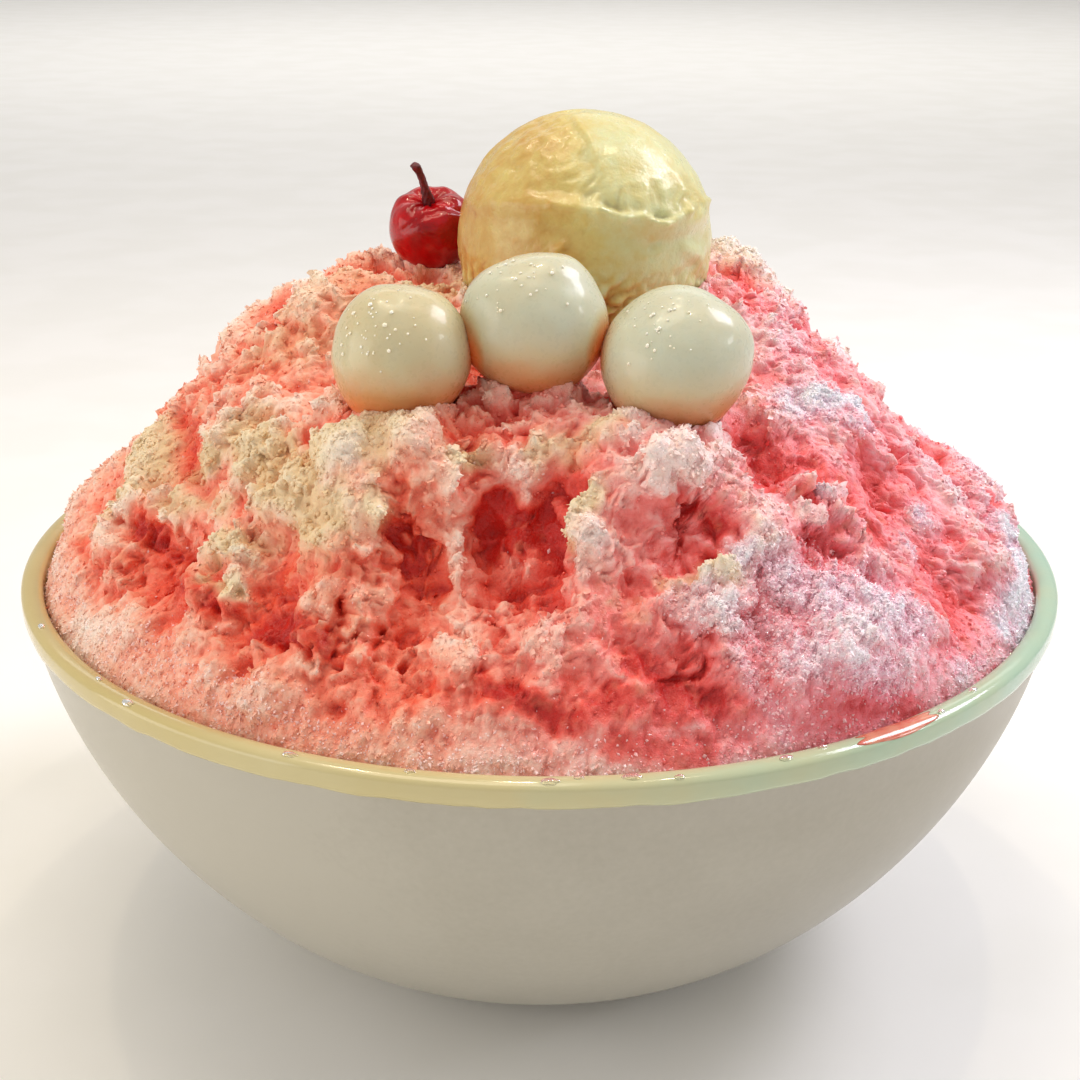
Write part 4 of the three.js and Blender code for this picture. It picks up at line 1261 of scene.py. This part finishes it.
def bowl():
    """Each ring is a circle; the band's lower edge rises and falls by noise round the bowl."""
    profile, glazed = bowl_profile()
    angle = 2 * math.pi * np.arange(BOWL_AROUND) / BOWL_AROUND
    circle = np.stack([np.cos(angle), np.sin(angle), np.zeros(BOWL_AROUND)], axis=1)
    waver = 0.45 * noise(circle * LIP_RADIUS, 9, 70) + 0.25 * noise(circle * LIP_RADIUS, 4, 71)
    on_band = profile[:, 0] > LIP_RADIUS - WAVER_WIDTH
    share = np.exp(-(((profile[:, 1] - BAND_EDGE) / WAVER_DEPTH) ** 2)) * on_band
    rings = profile[:, :1, None] * circle
    rings[..., 2] += profile[:, 1:] + share[:, None] * waver
    points, triangles = close_rings(rings, (0, 0, FLOOR), (0, 0, FOOT_RECESS))
    fields = {"glaze": np.concatenate([np.repeat(glazed, BOWL_AROUND), [1, 0]])}
    return make_piece("bowl_glazed", points, triangles, glaze_finish, ["bowl"], fields=fields)


bowl()

# %% [markdown]
# ## Ice cream
# A scoop rolls the ice cream into a ball. Its upper shell is smooth, gathered into folds on the right,
# and ends in a rolled edge; below that the ball is rougher and starts to melt. The shape is a radius
# for each direction: the solid's own ball, roll and waist, and then ridges, dents and melt on top.

# %% Ice cream finish
# Cream to amber; the amber end is painted shade.
SCOOP_CREAM_AND_SHADE = (0.15, 216, 216, 166), (0.5, 212, 192, 118), (0.85, 198, 156, 80), (1.0, 176, 112, 54)


def ice_cream_finish():
    """Cream to amber, darker where the golden field is high. That field is painted shade on the left side, on
    the lower part and in the cracks between crumbs.
    """
    finish = Finish("vanilla_ice_cream", Subsurface_Weight=0.25, Subsurface_Scale=0.004, IOR=1.38,
                    Subsurface_Radius=(1.0, 0.7, 0.35), Coat_Weight=0.35, Coat_Roughness=0.2)
    soft, melt, fine = finish.noise(14.0, 2.0), finish.noise(2.4), finish.noise(0.7, 2.0)
    tint = finish.blend(0.5, (soft, 0.7, 0.5), (melt, 0.5, 0.5), (finish.field("golden"), 0.5, 0.5))
    roughness = finish.blend(0.34, (melt, 0.5, 0.5))
    height = finish.blend(melt, (fine, 0.5, 0.5))
    return finish.done(finish.ramp(tint, SCOOP_CREAM_AND_SHADE), roughness, finish.bump(height, 0.4, 0.6))


SCOOP_GRID = 150, 260
SCOOP_PROUD = 2.4  # how far the roll and the marks may stand out of the ball
EDGE_LATITUDES, EDGE_AZIMUTHS = (0.5, 0.63, 1.03, 1.34), (-1.40, -1.45, -1.59, -2.03)  # of the shell
scoop_finish = ice_cream_finish()
SCOOP_MARKS = (  # azimuth and latitude of both ends in degrees, width as a share of the radius, rise
    (-107, 24, -85, 22, 0.035, 0.45), (-85, 22, -75, 19, 0.03, 0.8), (-75, 19, -66, 20, 0.03, 0.8),
    (-66, 20, -56, 16, 0.03, 0.9), (-56, 16, -40, 19, 0.03, 1.0), (-40, 19, -12, 20, 0.035, 0.9),
    (-80, 25, -77, 24, 0.04, -1.3), (-57, 20, -55, 19, 0.035, -1.2), (-38, 26, -37, 34, 0.07, 0.5),
    (-116, 77, -91, 59, 0.03, 0.3), (-91, 59, -83, 36, 0.04, 0.35), (-95, 47, -87, 44, 0.05, -0.4),
    (-101, 9, -103, 6, 0.035, 0.9), (-108, 14, -60, 7, 0.06, -0.35), (-60, 7, -20, 6, 0.05, -0.4),
    (-40, 4, -25, -2, 0.07, 0.7), (-30, -6, -45, -10, 0.06, -0.6), (-118, 30, -92, 31, 0.05, -0.25),
    (-150, 44, -130, 38, 0.06, -0.25), (-160, 30, -140, 28, 0.05, 0.3), (177, 32, -170, 36, 0.05, -0.7),
)
print(scoop_finish.name, "and", len(SCOOP_MARKS), "ridges and dents")

# %% [markdown]
# ### The scoop's relief
# Each feature is a function of the direction from the ball's centre: its azimuth, and its height above
# the rolled edge's wavy line. Ridges and dents that belong to this one scoop come from the marks.

# %% Ice cream
ROLL_LATITUDE, ROLL_WAVE, ROLL_LEAN, ROLL_WIDTH = 0.36, 0.05, 0.06, 0.11  # in radians
FOLD_COUNT, FOLD_RISE, GATHER_REACH = 15, 0.45, 0.16
SHELL_STEP, SHELL_EDGE = 0.7, 0.035


def roll_and_waist(azimuth, above):
    """The rolled edge, a bell curve that is lower on the left, less the waist below it."""
    roll = (0.45 + 0.45 * smoothstep(azimuth, -2.0, -1.4)) * np.exp(-((above / ROLL_WIDTH) ** 2))
    waist = smoothstep(-above, 0, 0.14) - 0.6 * smoothstep(-above, 0.3, 0.9)
    return roll - 0.9 * waist


def gathered_folds(directions, azimuth, above):
    """Folds above the roll: even ones on the right, and wrinkles that run along the roll, whose creases
    are the absolute value of a noise drawn out that way."""
    right = directions[:, 0]
    gathers = np.exp(-(((above - GATHER_REACH) / GATHER_REACH) ** 2))
    folds = FOLD_RISE * np.maximum(right, 0) * np.sin(FOLD_COUNT * azimuth) * gathers
    drawn = np.stack([azimuth * 1.6, above * 0.6, 0.8 * noise(directions, 0.3, 85)], axis=1)
    wrinkles = 1 - 2.6 * np.hypot(noise(drawn, 0.3, 86), 0.08)
    return folds + (0.15 + 0.35 * smoothstep(right, -0.3, 0.4)) * wrinkles * gathers


def crumbled(directions):
    """Cracks between crumbs, from 0 upwards: the absolute value of a fine noise."""
    return np.abs(noise(directions, 0.1, 84))


def scoop_radii(directions):
    """The solid's radius: a ball, a roll at a wavy latitude, a waist below it and folds above it. Marks
    are added, then the shell's step, melt that grows towards the base and a crumbly foot."""
    x, y, z = directions.T
    azimuth, latitude = np.arctan2(y, x), np.arcsin(np.clip(z, -1, 1))
    front = smoothstep(-y, -0.2, 0.6)
    above = latitude - (ROLL_LATITUDE + ROLL_WAVE * np.sin(3 * azimuth + 1) - ROLL_LEAN * x)
    base = smoothstep(-latitude, -0.2, 0.6)
    relief = roll_and_waist(azimuth, above) + gathered_folds(directions, azimuth, above)
    radius = SCOOP_RADIUS + front * relief
    radius += 0.5 * noise(directions, 0.35, 11) * base
    radius += ball_marks(directions + 0.03 * noise_vectors(directions, 0.25, 80), SCOOP_MARKS)

    edge = azimuth - np.interp(latitude, EDGE_LATITUDES, EDGE_AZIMUTHS)
    upper = smoothstep(above, 0, 0.12)
    shell = smoothstep(edge * np.cos(latitude), -SHELL_EDGE, SHELL_EDGE) * upper
    radius += SHELL_STEP * (shell - 0.5) * front * upper

    left_top = smoothstep(-edge, 0, 0.3) * smoothstep(-edge, -1.6, -1.2) * smoothstep(above, -0.1, 0.2)
    melt = 0.1 + 0.5 * base + 0.3 * left_top
    radius += melt * (0.8 * noise(directions, 0.12, 81) + 0.5 * noise(directions, 0.055, 82))
    radius += 0.25 * noise(directions * (1, 1, 2.2), 0.5, 83)
    crumbly = smoothstep(-latitude, 0.05, 0.35) * front
    return radius + crumbly * (3.0 * crumbled(directions) - 0.7) - 0.15


def ice_cream():
    """The ball of directions, each carried out to its radius."""
    directions = ball_directions(*SCOOP_GRID)
    radii = np.minimum(scoop_radii(directions), SCOOP_RADIUS + SCOOP_PROUD)
    points = SCOOP_CENTRE + directions * radii[:, None]
    points[:, 2] = np.minimum(points[:, 2], SCOOP_CENTRE[2] + SCOOP_RADIUS)
    # The golden field is painted shade. It is amber on the left side and the lower part, deeper in the cracks
    # between crumbs, and paler on the crumbs' tops.
    golden = smoothstep(-directions[:, 0] - 0.2 * directions[:, 2], -0.35, 0.35)
    low = smoothstep(-directions[:, 2], -0.05, 0.3) * (1 - 0.7 * smoothstep(directions[:, 0], 0.1, 0.6))
    golden = np.maximum(golden, low) + low * (0.6 - 2.4 * crumbled(directions))
    return make_piece("ice_cream_ball", points, ball_triangles(*SCOOP_GRID), scoop_finish,
                      ["ice_cream_scoop"], fields={"golden": golden})


ice_cream()

# %% [markdown]
# ## Rice dumplings
# Rice dough boils to a smooth, wet, half translucent ball that keeps the marks of the hands: a soft point, a
# flat side, a shoulder. Light spreads inside it, so the finish scatters below the surface and has a thin wet
# coat. Near the syrup the dumplings take on an orange glow. That glow, and the shade on their lower halves,
# are painted into the dough's colour.

# %% Dumpling finish and marks
DUMPLING_GRID = 110, 180
DUMPLING_MARKS = {  # as SCOOP_MARKS
    "dumpling_left": (
        (-90, 86, 90, 86, 0.4, -0.5), (-20, 50, -10, 46, 0.4, 0.4), (-30, -40, -30, -50, 0.5, -0.5),
    ),
    "dumpling_middle": (
        (-90, 88, 90, 88, 0.4, -0.5), (-45, 64, -10, 58, 0.36, 0.45), (-25, 40, 5, 32, 0.42, -0.6),
        (-165, 25, -165, -20, 0.6, 1.5), (180, 40, 180, 30, 0.5, -0.4),
    ),
    "dumpling_right": (
        (-155, 52, -170, 45, 0.45, -0.8), (-30, 30, -5, 24, 0.45, 0.7), (-40, -30, -10, -35, 0.5, -0.8),
    ),
}
# Pale dough to amber and orange: the amber is painted shade and the orange a painted glow from the syrup.
DOUGH_COLOURS = (0.0, 202, 207, 188), (0.35, 204, 192, 154), (0.7, 206, 148, 96), (1.0, 236, 128, 66)


def dumpling_finish():
    """Pale dough that its stain and glow field turns amber and then orange: painted shade and painted orange
    glow from the syrup.
    """
    finish = Finish("wet_rice_dough", Subsurface_Weight=0.4, Subsurface_Scale=0.009, IOR=1.36,
                    Subsurface_Radius=(1.0, 0.72, 0.5), Coat_Weight=0.25, Coat_Roughness=0.06)
    cloudy, fine = finish.noise(9.0, 2.0), finish.noise(1.1, 2.0)
    tint = finish.blend(finish.field("stain_and_glow"), (cloudy, 0.3, 0.5), (fine, 0.06, 0.5))
    roughness = finish.blend(0.30, (fine, 0.3, 0.5))
    return finish.done(finish.ramp(tint, DOUGH_COLOURS), roughness, finish.bump(cloudy, 0.2, 0.2))


dough_finish = dumpling_finish()
print("dumpling finish:", dough_finish.name)

# %% [markdown]
# ### The dumplings' shapes
# Each dumpling is a ball with soft noise and its own hand marks. The outer two are pressed in a little where
# they lean on the middle one. Each has a little stain of its own. Its colour turns amber and orange downwards
# and where two of them touch: painted shade and painted orange glow.

# %% Dumplings
LARGE_LUMPS, SMALL_LUMPS = 0.045, 0.12  # as a share of the radius, and in millimetres
# How much painted shade and glow the lower half and the touching places get.
PRESSED_IN, LOW_SHADE_AND_GLOW, CONTACT_GLOW = 0.1, 0.7, 1.05


def dumpling_skin(name, directions):
    """Points of a dumpling's surface: its centre plus each direction times a radius with soft noise and
    hand marks."""
    one = DUMPLINGS[name]
    reach = one["radius"] * (1 + LARGE_LUMPS * noise(directions, 1.1, one["seed"]))
    small = SMALL_LUMPS * noise(directions, 0.28, one["seed"] + 5)
    reach += ball_marks(directions, DUMPLING_MARKS[name]) + small
    return one["centre"] + directions * reach[:, None] * (1, 1, one["stretch"])


def dumpling(name, centre, radius, stretch, seed, stain):
    """The outer two are pressed in by the middle one; painted shade and orange glow grow downwards and where
    balls touch.
    """
    directions = ball_directions(*DUMPLING_GRID)
    points = dumpling_skin(name, directions)
    middle = DUMPLINGS["dumpling_middle"]
    if name != "dumpling_middle":
        points = press_out(points, middle["centre"], middle["radius"] - PRESSED_IN)
    # Painted shade and reflected orange glow on the lower half, and painted glow where balls touch.
    stain_and_glow = stain + LOW_SHADE_AND_GLOW * smoothstep(-directions[:, 2], -0.3, 0.95)
    for other in DUMPLINGS.values():
        gap = np.linalg.norm(points - other["centre"], axis=1) - other["radius"]
        if other["centre"] is not centre:
            touching = smoothstep(-gap, -6, 0) * smoothstep(-directions[:, 2], -0.7, 0.3)
            stain_and_glow = np.maximum(stain_and_glow, CONTACT_GLOW * touching)
    return make_piece(f"{name}_soft", points, ball_triangles(*DUMPLING_GRID), dough_finish,
                      [name], fields={"stain_and_glow": stain_and_glow})


for name, sizes in DUMPLINGS.items():
    dumpling(name, **sizes)

# %% [markdown]
# ### Beads of moisture
# Tiny wet beads stand on the upper left of each dumpling. They are real shapes, since a bump could not catch
# the light on their far sides. Their near-white colour is a painted sparkle.

# %% Beads of moisture on the dumplings
BEAD_FLATNESS, BEAD_LIFT = 0.7, 0.35
BEAD_AIMS = {  # count, and the direction round which they lie
    "dumpling_left": (46, (-0.35, -0.70, 0.62)),
    "dumpling_middle": (30, (-0.35, -0.55, 0.76)),
    "dumpling_right": (36, (-0.30, -0.62, 0.72)),
}


def beads():
    """Each bead is a small flattened icosahedron, partly sunk where a direction meets the skin."""
    draws = np.random.default_rng(12)
    corners, shape_triangles = icosahedron()
    parts = []
    for name, (count, aim) in BEAD_AIMS.items():
        directions = unit(np.array(aim) + 0.3 * draws.normal(size=(count, 3)))
        size = 0.18 + 0.3 * draws.random((count, 1, 1)) ** 2
        frames = turned_frames(directions, draws.uniform(0.05, 0.3, count), draws)
        shapes = corners * (1, 1, BEAD_FLATNESS) * size
        shapes[..., 2] += BEAD_LIFT * size[..., 0]
        parts.append((shapes, frames, dumpling_skin(name, directions)))
    shapes, frames, places = (np.concatenate(part) for part in zip(*parts))
    points, triangles = copies(shapes, shape_triangles, frames, places)
    finish = Finish("moisture", IOR=1.4, Coat_Weight=1.0, Coat_Roughness=0.04)
    # Painted sparkle: the beads are coloured near white so that they read as glints.
    colour = finish.ramp(finish.noise(3.0), ((0.3, 255, 246, 214), (0.7, 255, 254, 246)))
    return make_piece("sparkle_beads", points, triangles, finish.done(colour, 0.1))


beads()

# %% [markdown]
# ## Cherry
# A candied cherry shrinks a little: its shoulders wrinkle round the dimple, and a crease runs across
# its front, below which the skin is tight. The stalk is short, dark and bent, with a dried knob.

# %% Cherry
CHERRY_FRAME = Matrix.Rotation(CHERRY_TURN, 3, "Z") @ Matrix.Rotation(CHERRY_LEAN, 3, "X")
CHERRY_AXES = np.array(CHERRY_FRAME)
CHERRY_GRID = 100, 150
CREASE = (  # azimuth and latitude of both ends of each stretch
    (-125, 8, -110, 18), (-110, 18, -92, 28), (-92, 28, -74, 34), (-74, 34, -50, 34), (-50, 34, -25, 26),
)
CREASE_WIDTH, CREASE_DEPTH = 0.07, 0.035
DIMPLE_DEPTH, DIMPLE_WIDTH = 0.3, 0.42
SHOULDER_RISE, SHOULDER_HEIGHT, SHOULDER_WIDTH = 0.05, 0.62, 0.3
WRINKLE_COUNT, WRINKLE_DEPTH = 7, 0.025
CHERRY_COLOURS = (0.2, 128, 0, 6), (0.55, 172, 0, 10), (0.9, 206, 12, 18)


def cherry_finish():
    """Deep clouded red under a thin coat of syrup."""
    finish = Finish("candied_cherry", Subsurface_Weight=0.15, Subsurface_Scale=0.002, IOR=1.36,
                    Subsurface_Radius=(1.0, 0.1, 0.05), Coat_Weight=0.25, Coat_Roughness=0.05)
    cloudy, fine = finish.noise(4.0, 2.0), finish.noise(0.6, 2.0)
    colour = finish.ramp(finish.blend(0.5, (cloudy, 0.8, 0.5), (fine, 0.3, 0.5)), CHERRY_COLOURS)
    return finish.done(colour, finish.blend(0.2, (fine, 0.2, 0.5)), finish.bump(fine, 0.06, 0.3))


def cherry():
    """The solid's ball with its dimple, shoulder and seven wrinkles; above the crease, finer wrinkles."""
    local = ball_directions(*CHERRY_GRID)
    azimuth = np.arctan2(local[:, 1], local[:, 0])
    away = np.arccos(np.clip(local[:, 2], -1, 1))
    dimple = DIMPLE_DEPTH * np.exp(-((away / DIMPLE_WIDTH) ** 2))
    shoulder = SHOULDER_RISE * np.exp(-(((local[:, 2] - SHOULDER_HEIGHT) / SHOULDER_WIDTH) ** 2))
    wrinkled = smoothstep(local[:, 2], 0.3, 0.7)
    wrinkles = WRINKLE_DEPTH * np.sin(WRINKLE_COUNT * azimuth) * smoothstep(local[:, 2], 0.35, 0.85)
    world = local @ CHERRY_AXES.T
    crease = sum(
        np.exp(-((segment_distance(world, toward(*mark[:2]), toward(*mark[2:])) / CREASE_WIDTH) ** 2))
        for mark in CREASE
    )
    share = 1 + shoulder + wrinkles - dimple - CREASE_DEPTH * np.minimum(crease, 1)
    share += 0.03 * wrinkled * (np.abs(noise(world * (1, 1, 0.6), 0.28, 90)) - 0.3)
    share += 0.01 * noise(world, 0.5, 91)
    points = CHERRY_CENTRE + world * (CHERRY_RADIUS * share)[:, None]
    return make_piece("candied_cherry", points, ball_triangles(*CHERRY_GRID), cherry_finish(),
                      ["cherry"])


cherry()

# %% [markdown]
# ### Stalk
# The stalk is a tube: rings along a bent line, whose radius falls from the foot to the shank and swells
# again in the dried knob. Two waves round and along it make the skin look shrunken.

# %% Stalk
STEM_LENGTH, STEM_BEND = 9.5, 2.0
STEM_FOOT, STEM_SHANK, STEM_KNOB = 1.45, 0.78, 1.05
STEM_RINGS, STEM_AROUND = 40, 20


def stem():
    """Rings along a line bent as the square of its length: thick at the foot, then slim, then a knob."""
    t = np.linspace(0, 1, STEM_RINGS)
    foot = CHERRY_RADIUS * 0.7 - 0.3
    shank = STEM_FOOT + (STEM_SHANK - STEM_FOOT) * np.minimum(t / 0.5, 1)
    radius = shank + (STEM_KNOB - STEM_SHANK) * smoothstep(t, 0.8, 1) - 0.5 * smoothstep(t, 0.97, 1.02)
    angle = 2 * math.pi * np.arange(STEM_AROUND) / STEM_AROUND
    along = t[:, None]
    rough = 1 + 0.12 * np.sin(3 * angle + 9 * along) + 0.08 * np.sin(7 * angle - 30 * along)
    local = np.stack([
        radius[:, None] * rough * np.cos(angle) - STEM_BEND * t[:, None] ** 2,
        radius[:, None] * rough * np.sin(angle),
        np.broadcast_to((foot + (STEM_LENGTH + 0.4) * t)[:, None], rough.shape),
    ], axis=-1)[::-1]
    ends = [local[0].mean(axis=0) + (0, 0, 0.1), local[-1].mean(axis=0)]
    points, triangles = close_rings(local, *ends)
    finish = Finish("dry_stalk")
    fibre = finish.noise(0.8, 3.0)
    colour = finish.ramp(fibre, ((0.3, 66, 6, 14), (0.7, 120, 20, 30)))
    material = finish.done(colour, 0.5, finish.bump(fibre, 0.2, 0.6))
    return make_piece("stalk", CHERRY_CENTRE + points @ CHERRY_AXES.T, triangles, material,
                      ["cherry_stem"])


stem()

# %% [markdown]
# ## Syrup on the lip and drops
# A smear of syrup has run over the lip on the right, and meltwater stands on the glaze in drops. Both
# lie on the lip's own ellipse: a patch is a lens whose two parameters are the angle round the bowl and
# the angle over the lip.

# %% Smear and drops
LENS_AROUND, LENS_RINGS, LENS_SUNK = 48, 14, 0.1
DROPS = (  # angle round the bowl, angle over the lip, half width in degrees
    (-89, 70, 0.8), (-86.5, 95, 0.5), (-82, 85, 0.9), (-78, 60, 0.5), (-68, 80, 0.7), (-64, 100, 0.5),
    (-101, 90, 0.5), (-112, 75, 0.7), (-131, 60, 0.8), (-137, 95, 0.5), (-50, 70, 0.5), (-44, 95, 0.6),
    (-152, 80, 0.6), (35, 80, 0.7), (120, 70, 0.8), (80, 90, 0.6),
)


def lip_point(around, over, lift=0.0):
    """A point on the lip at an angle round the bowl and an angle over its section, 0 outside and 180
    inside, lifted off it."""
    radius = INNER_RADIUS + LIP_HALF * (1 + np.cos(over)) + lift * np.cos(over)
    height = BOWL_HEIGHT - LIP_SQUASH * LIP_HALF * (1 - np.sin(over)) + lift * np.sin(over)
    return np.stack([radius * np.cos(around), radius * np.sin(around), height], axis=-1)


def lens(around, over, half_around, half_over, thickness, ragged, seed):
    """A closed lens on the lip: rings from its middle to its edge and back underneath."""
    share = np.concatenate([np.linspace(0.08, 1, LENS_RINGS), np.linspace(0.9, 0.1, 5)])[:, None]
    turn = 2 * math.pi * np.arange(LENS_AROUND) / LENS_AROUND
    edge = 1 + ragged * noise(np.stack([np.cos(turn), np.sin(turn), 0 * turn], axis=1), 0.6, seed)
    reach = share * edge
    top = (np.arange(len(share)) < LENS_RINGS)[:, None]
    lift = np.where(top, thickness * np.sqrt(np.clip(1.02 - share**2, 0, 1)), -LENS_SUNK)
    a = math.radians(around) - math.radians(half_around) * reach * np.cos(turn)
    o = math.radians(over) + math.radians(half_over) * reach * np.sin(turn)
    rings = lip_point(a, o, np.broadcast_to(lift, a.shape))
    middle = lip_point(math.radians(around), math.radians(over), thickness)
    under = lip_point(math.radians(around), math.radians(over), -LENS_SUNK)
    return close_rings(rings, middle, under)


def syrup_smear():
    """One large ragged lens, streaked from red to pale."""
    finish = Finish("runny_syrup", Subsurface_Weight=0.2, Subsurface_Scale=0.002, Coat_Weight=0.7,
                    Coat_Roughness=0.04)
    streaks = finish.noise(2.6, 2.0)
    colour = finish.ramp(streaks, ((0.3, 214, 96, 78), (0.7, 228, 150, 122)))
    material = finish.done(colour, 0.18, finish.bump(streaks, 0.1, 0.3))
    points, triangles = lens(-56, 78, 5.2, 58, 0.18, 0.45, 95)
    return make_piece("syrup_on_lip", points, triangles, material)


def melt_drops():
    """Small lenses at chosen angles, joined into one piece."""
    finish = Finish("melt_water", Transmission_Weight=0.9, IOR=1.33)
    ripple = finish.noise(1.5, 1.0)
    colour = finish.ramp(ripple, ((0.3, 240, 232, 214), (0.7, 250, 248, 240)))
    material = finish.done(colour, 0.05, finish.bump(ripple, 0.04, 0.3))
    parts, corners, count = [], [], 0
    for around, over, half in DROPS:
        points, triangles = lens(around, over, half, half * 26, 0.45, 0.2, 96 + count % 7)
        parts.append(points)
        corners.append(triangles + count)
        count += len(points)
    return make_piece("melt_drops", np.concatenate(parts), np.concatenate(corners), material)


syrup_smear()
melt_drops()

# %% [markdown]
# ## Floor
# The floor is plain, pale and wide, so that it reaches past every edge of the view. It is staged
# apart from the part: it isn't one of its pieces.

# %% Floor
FLOOR_REACH, FLOOR_ROUGHNESS = 8.0, 0.6  # metres from the middle to each side
FLOOR_COLOURS = (0.4, 244, 243, 240), (0.6, 247, 246, 244)


def floor_piece():
    """A square in the plane of the bowl's foot, staged apart from the part itself."""
    mesh = bpy.data.meshes.new("floor")
    signs = ((-1, -1), (1, -1), (1, 1), (-1, 1))
    mesh.from_pydata([(FLOOR_REACH * x, FLOOR_REACH * y, 0) for x, y in signs], [], [(0, 1, 2, 3)])
    finish = Finish("pale_floor")
    mesh.materials.append(finish.done(finish.ramp(finish.noise(60.0), FLOOR_COLOURS), FLOOR_ROUGHNESS))
    floor = bpy.data.objects.new("floor", mesh)
    bpy.context.scene.collection.objects.link(floor)
    floor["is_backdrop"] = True
    return floor


floor_piece()

# %% [markdown]
# ### Lamps
# A cool window from the upper right and a warmer, softer lamp from the left light the heap. Small warm
# lamps high up put sparkles on everything wet, and a wide lamp far behind brightens the floor there.

# %% Lights
def area_light(name, place, aim, size, power, colour):
    """A square lamp at a place in metres, turned to face its aim."""
    lamp = bpy.data.lights.new(name, "AREA")
    lamp.size, lamp.energy, lamp.color = size, power, colour
    holder = bpy.data.objects.new(name, lamp)
    holder.location = place
    holder.rotation_euler = (Vector(aim) - Vector(place)).to_track_quat("-Z", "Y").to_euler()
    holder.visible_camera = False
    bpy.context.scene.collection.objects.link(holder)
    return holder


HEAP_MIDDLE = (0.0, 0.0, 0.1)
LAMPS = (  # name, place, aim, side in metres, power in watts, colour
    ("window_right", (0.60, 0.26, 0.76), HEAP_MIDDLE, 0.36, 4.6, (0.90, 0.90, 1.0)),
    ("soft_left", (-0.80, -0.30, 0.16), HEAP_MIDDLE, 0.75, 3.7, (1.0, 0.95, 0.88)),
    ("ceiling", (-0.15, 0.00, 0.95), HEAP_MIDDLE, 0.45, 2.0, (1.0, 0.88, 0.70)),
    ("low_right", (0.78, -0.16, 0.44), HEAP_MIDDLE, 0.12, 0.5, (0.95, 0.97, 1.0)),
    ("far_floor", (0.0, 2.6, 1.6), (0.0, 3.2, 0.0), 2.5, 26.0, (1.0, 0.98, 0.95)),
)
SMALL_LAMPS = (-0.22, 0.10, 0.72), (-0.02, 0.22, 0.72), (0.16, 0.05, 0.72)
SKY_COLOUR, SKY_STRENGTH = (1.0, 0.97, 0.93, 1.0), 0.53

for lamp in LAMPS:
    area_light(*lamp)
for number, place in enumerate(SMALL_LAMPS):
    area_light(f"small_lamp_{number}", place, HEAP_MIDDLE, 0.02, 0.30, (1.0, 0.85, 0.62))

world = bpy.data.worlds.new("studio")
world.use_nodes = True
background = world.node_tree.nodes["Background"]
background.inputs["Color"].default_value = SKY_COLOUR
background.inputs["Strength"].default_value = SKY_STRENGTH
bpy.context.scene.world = world
bpy.context.scene.view_settings.view_transform = "Standard"
print(len(bpy.data.lights), "lamps")

# %% Sizes and finish
dressed_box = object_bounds()
sizes = {"solids": [list(corner) for corner in solid_box], "dressed": [list(corner) for corner in dressed_box]}
print(sizes)
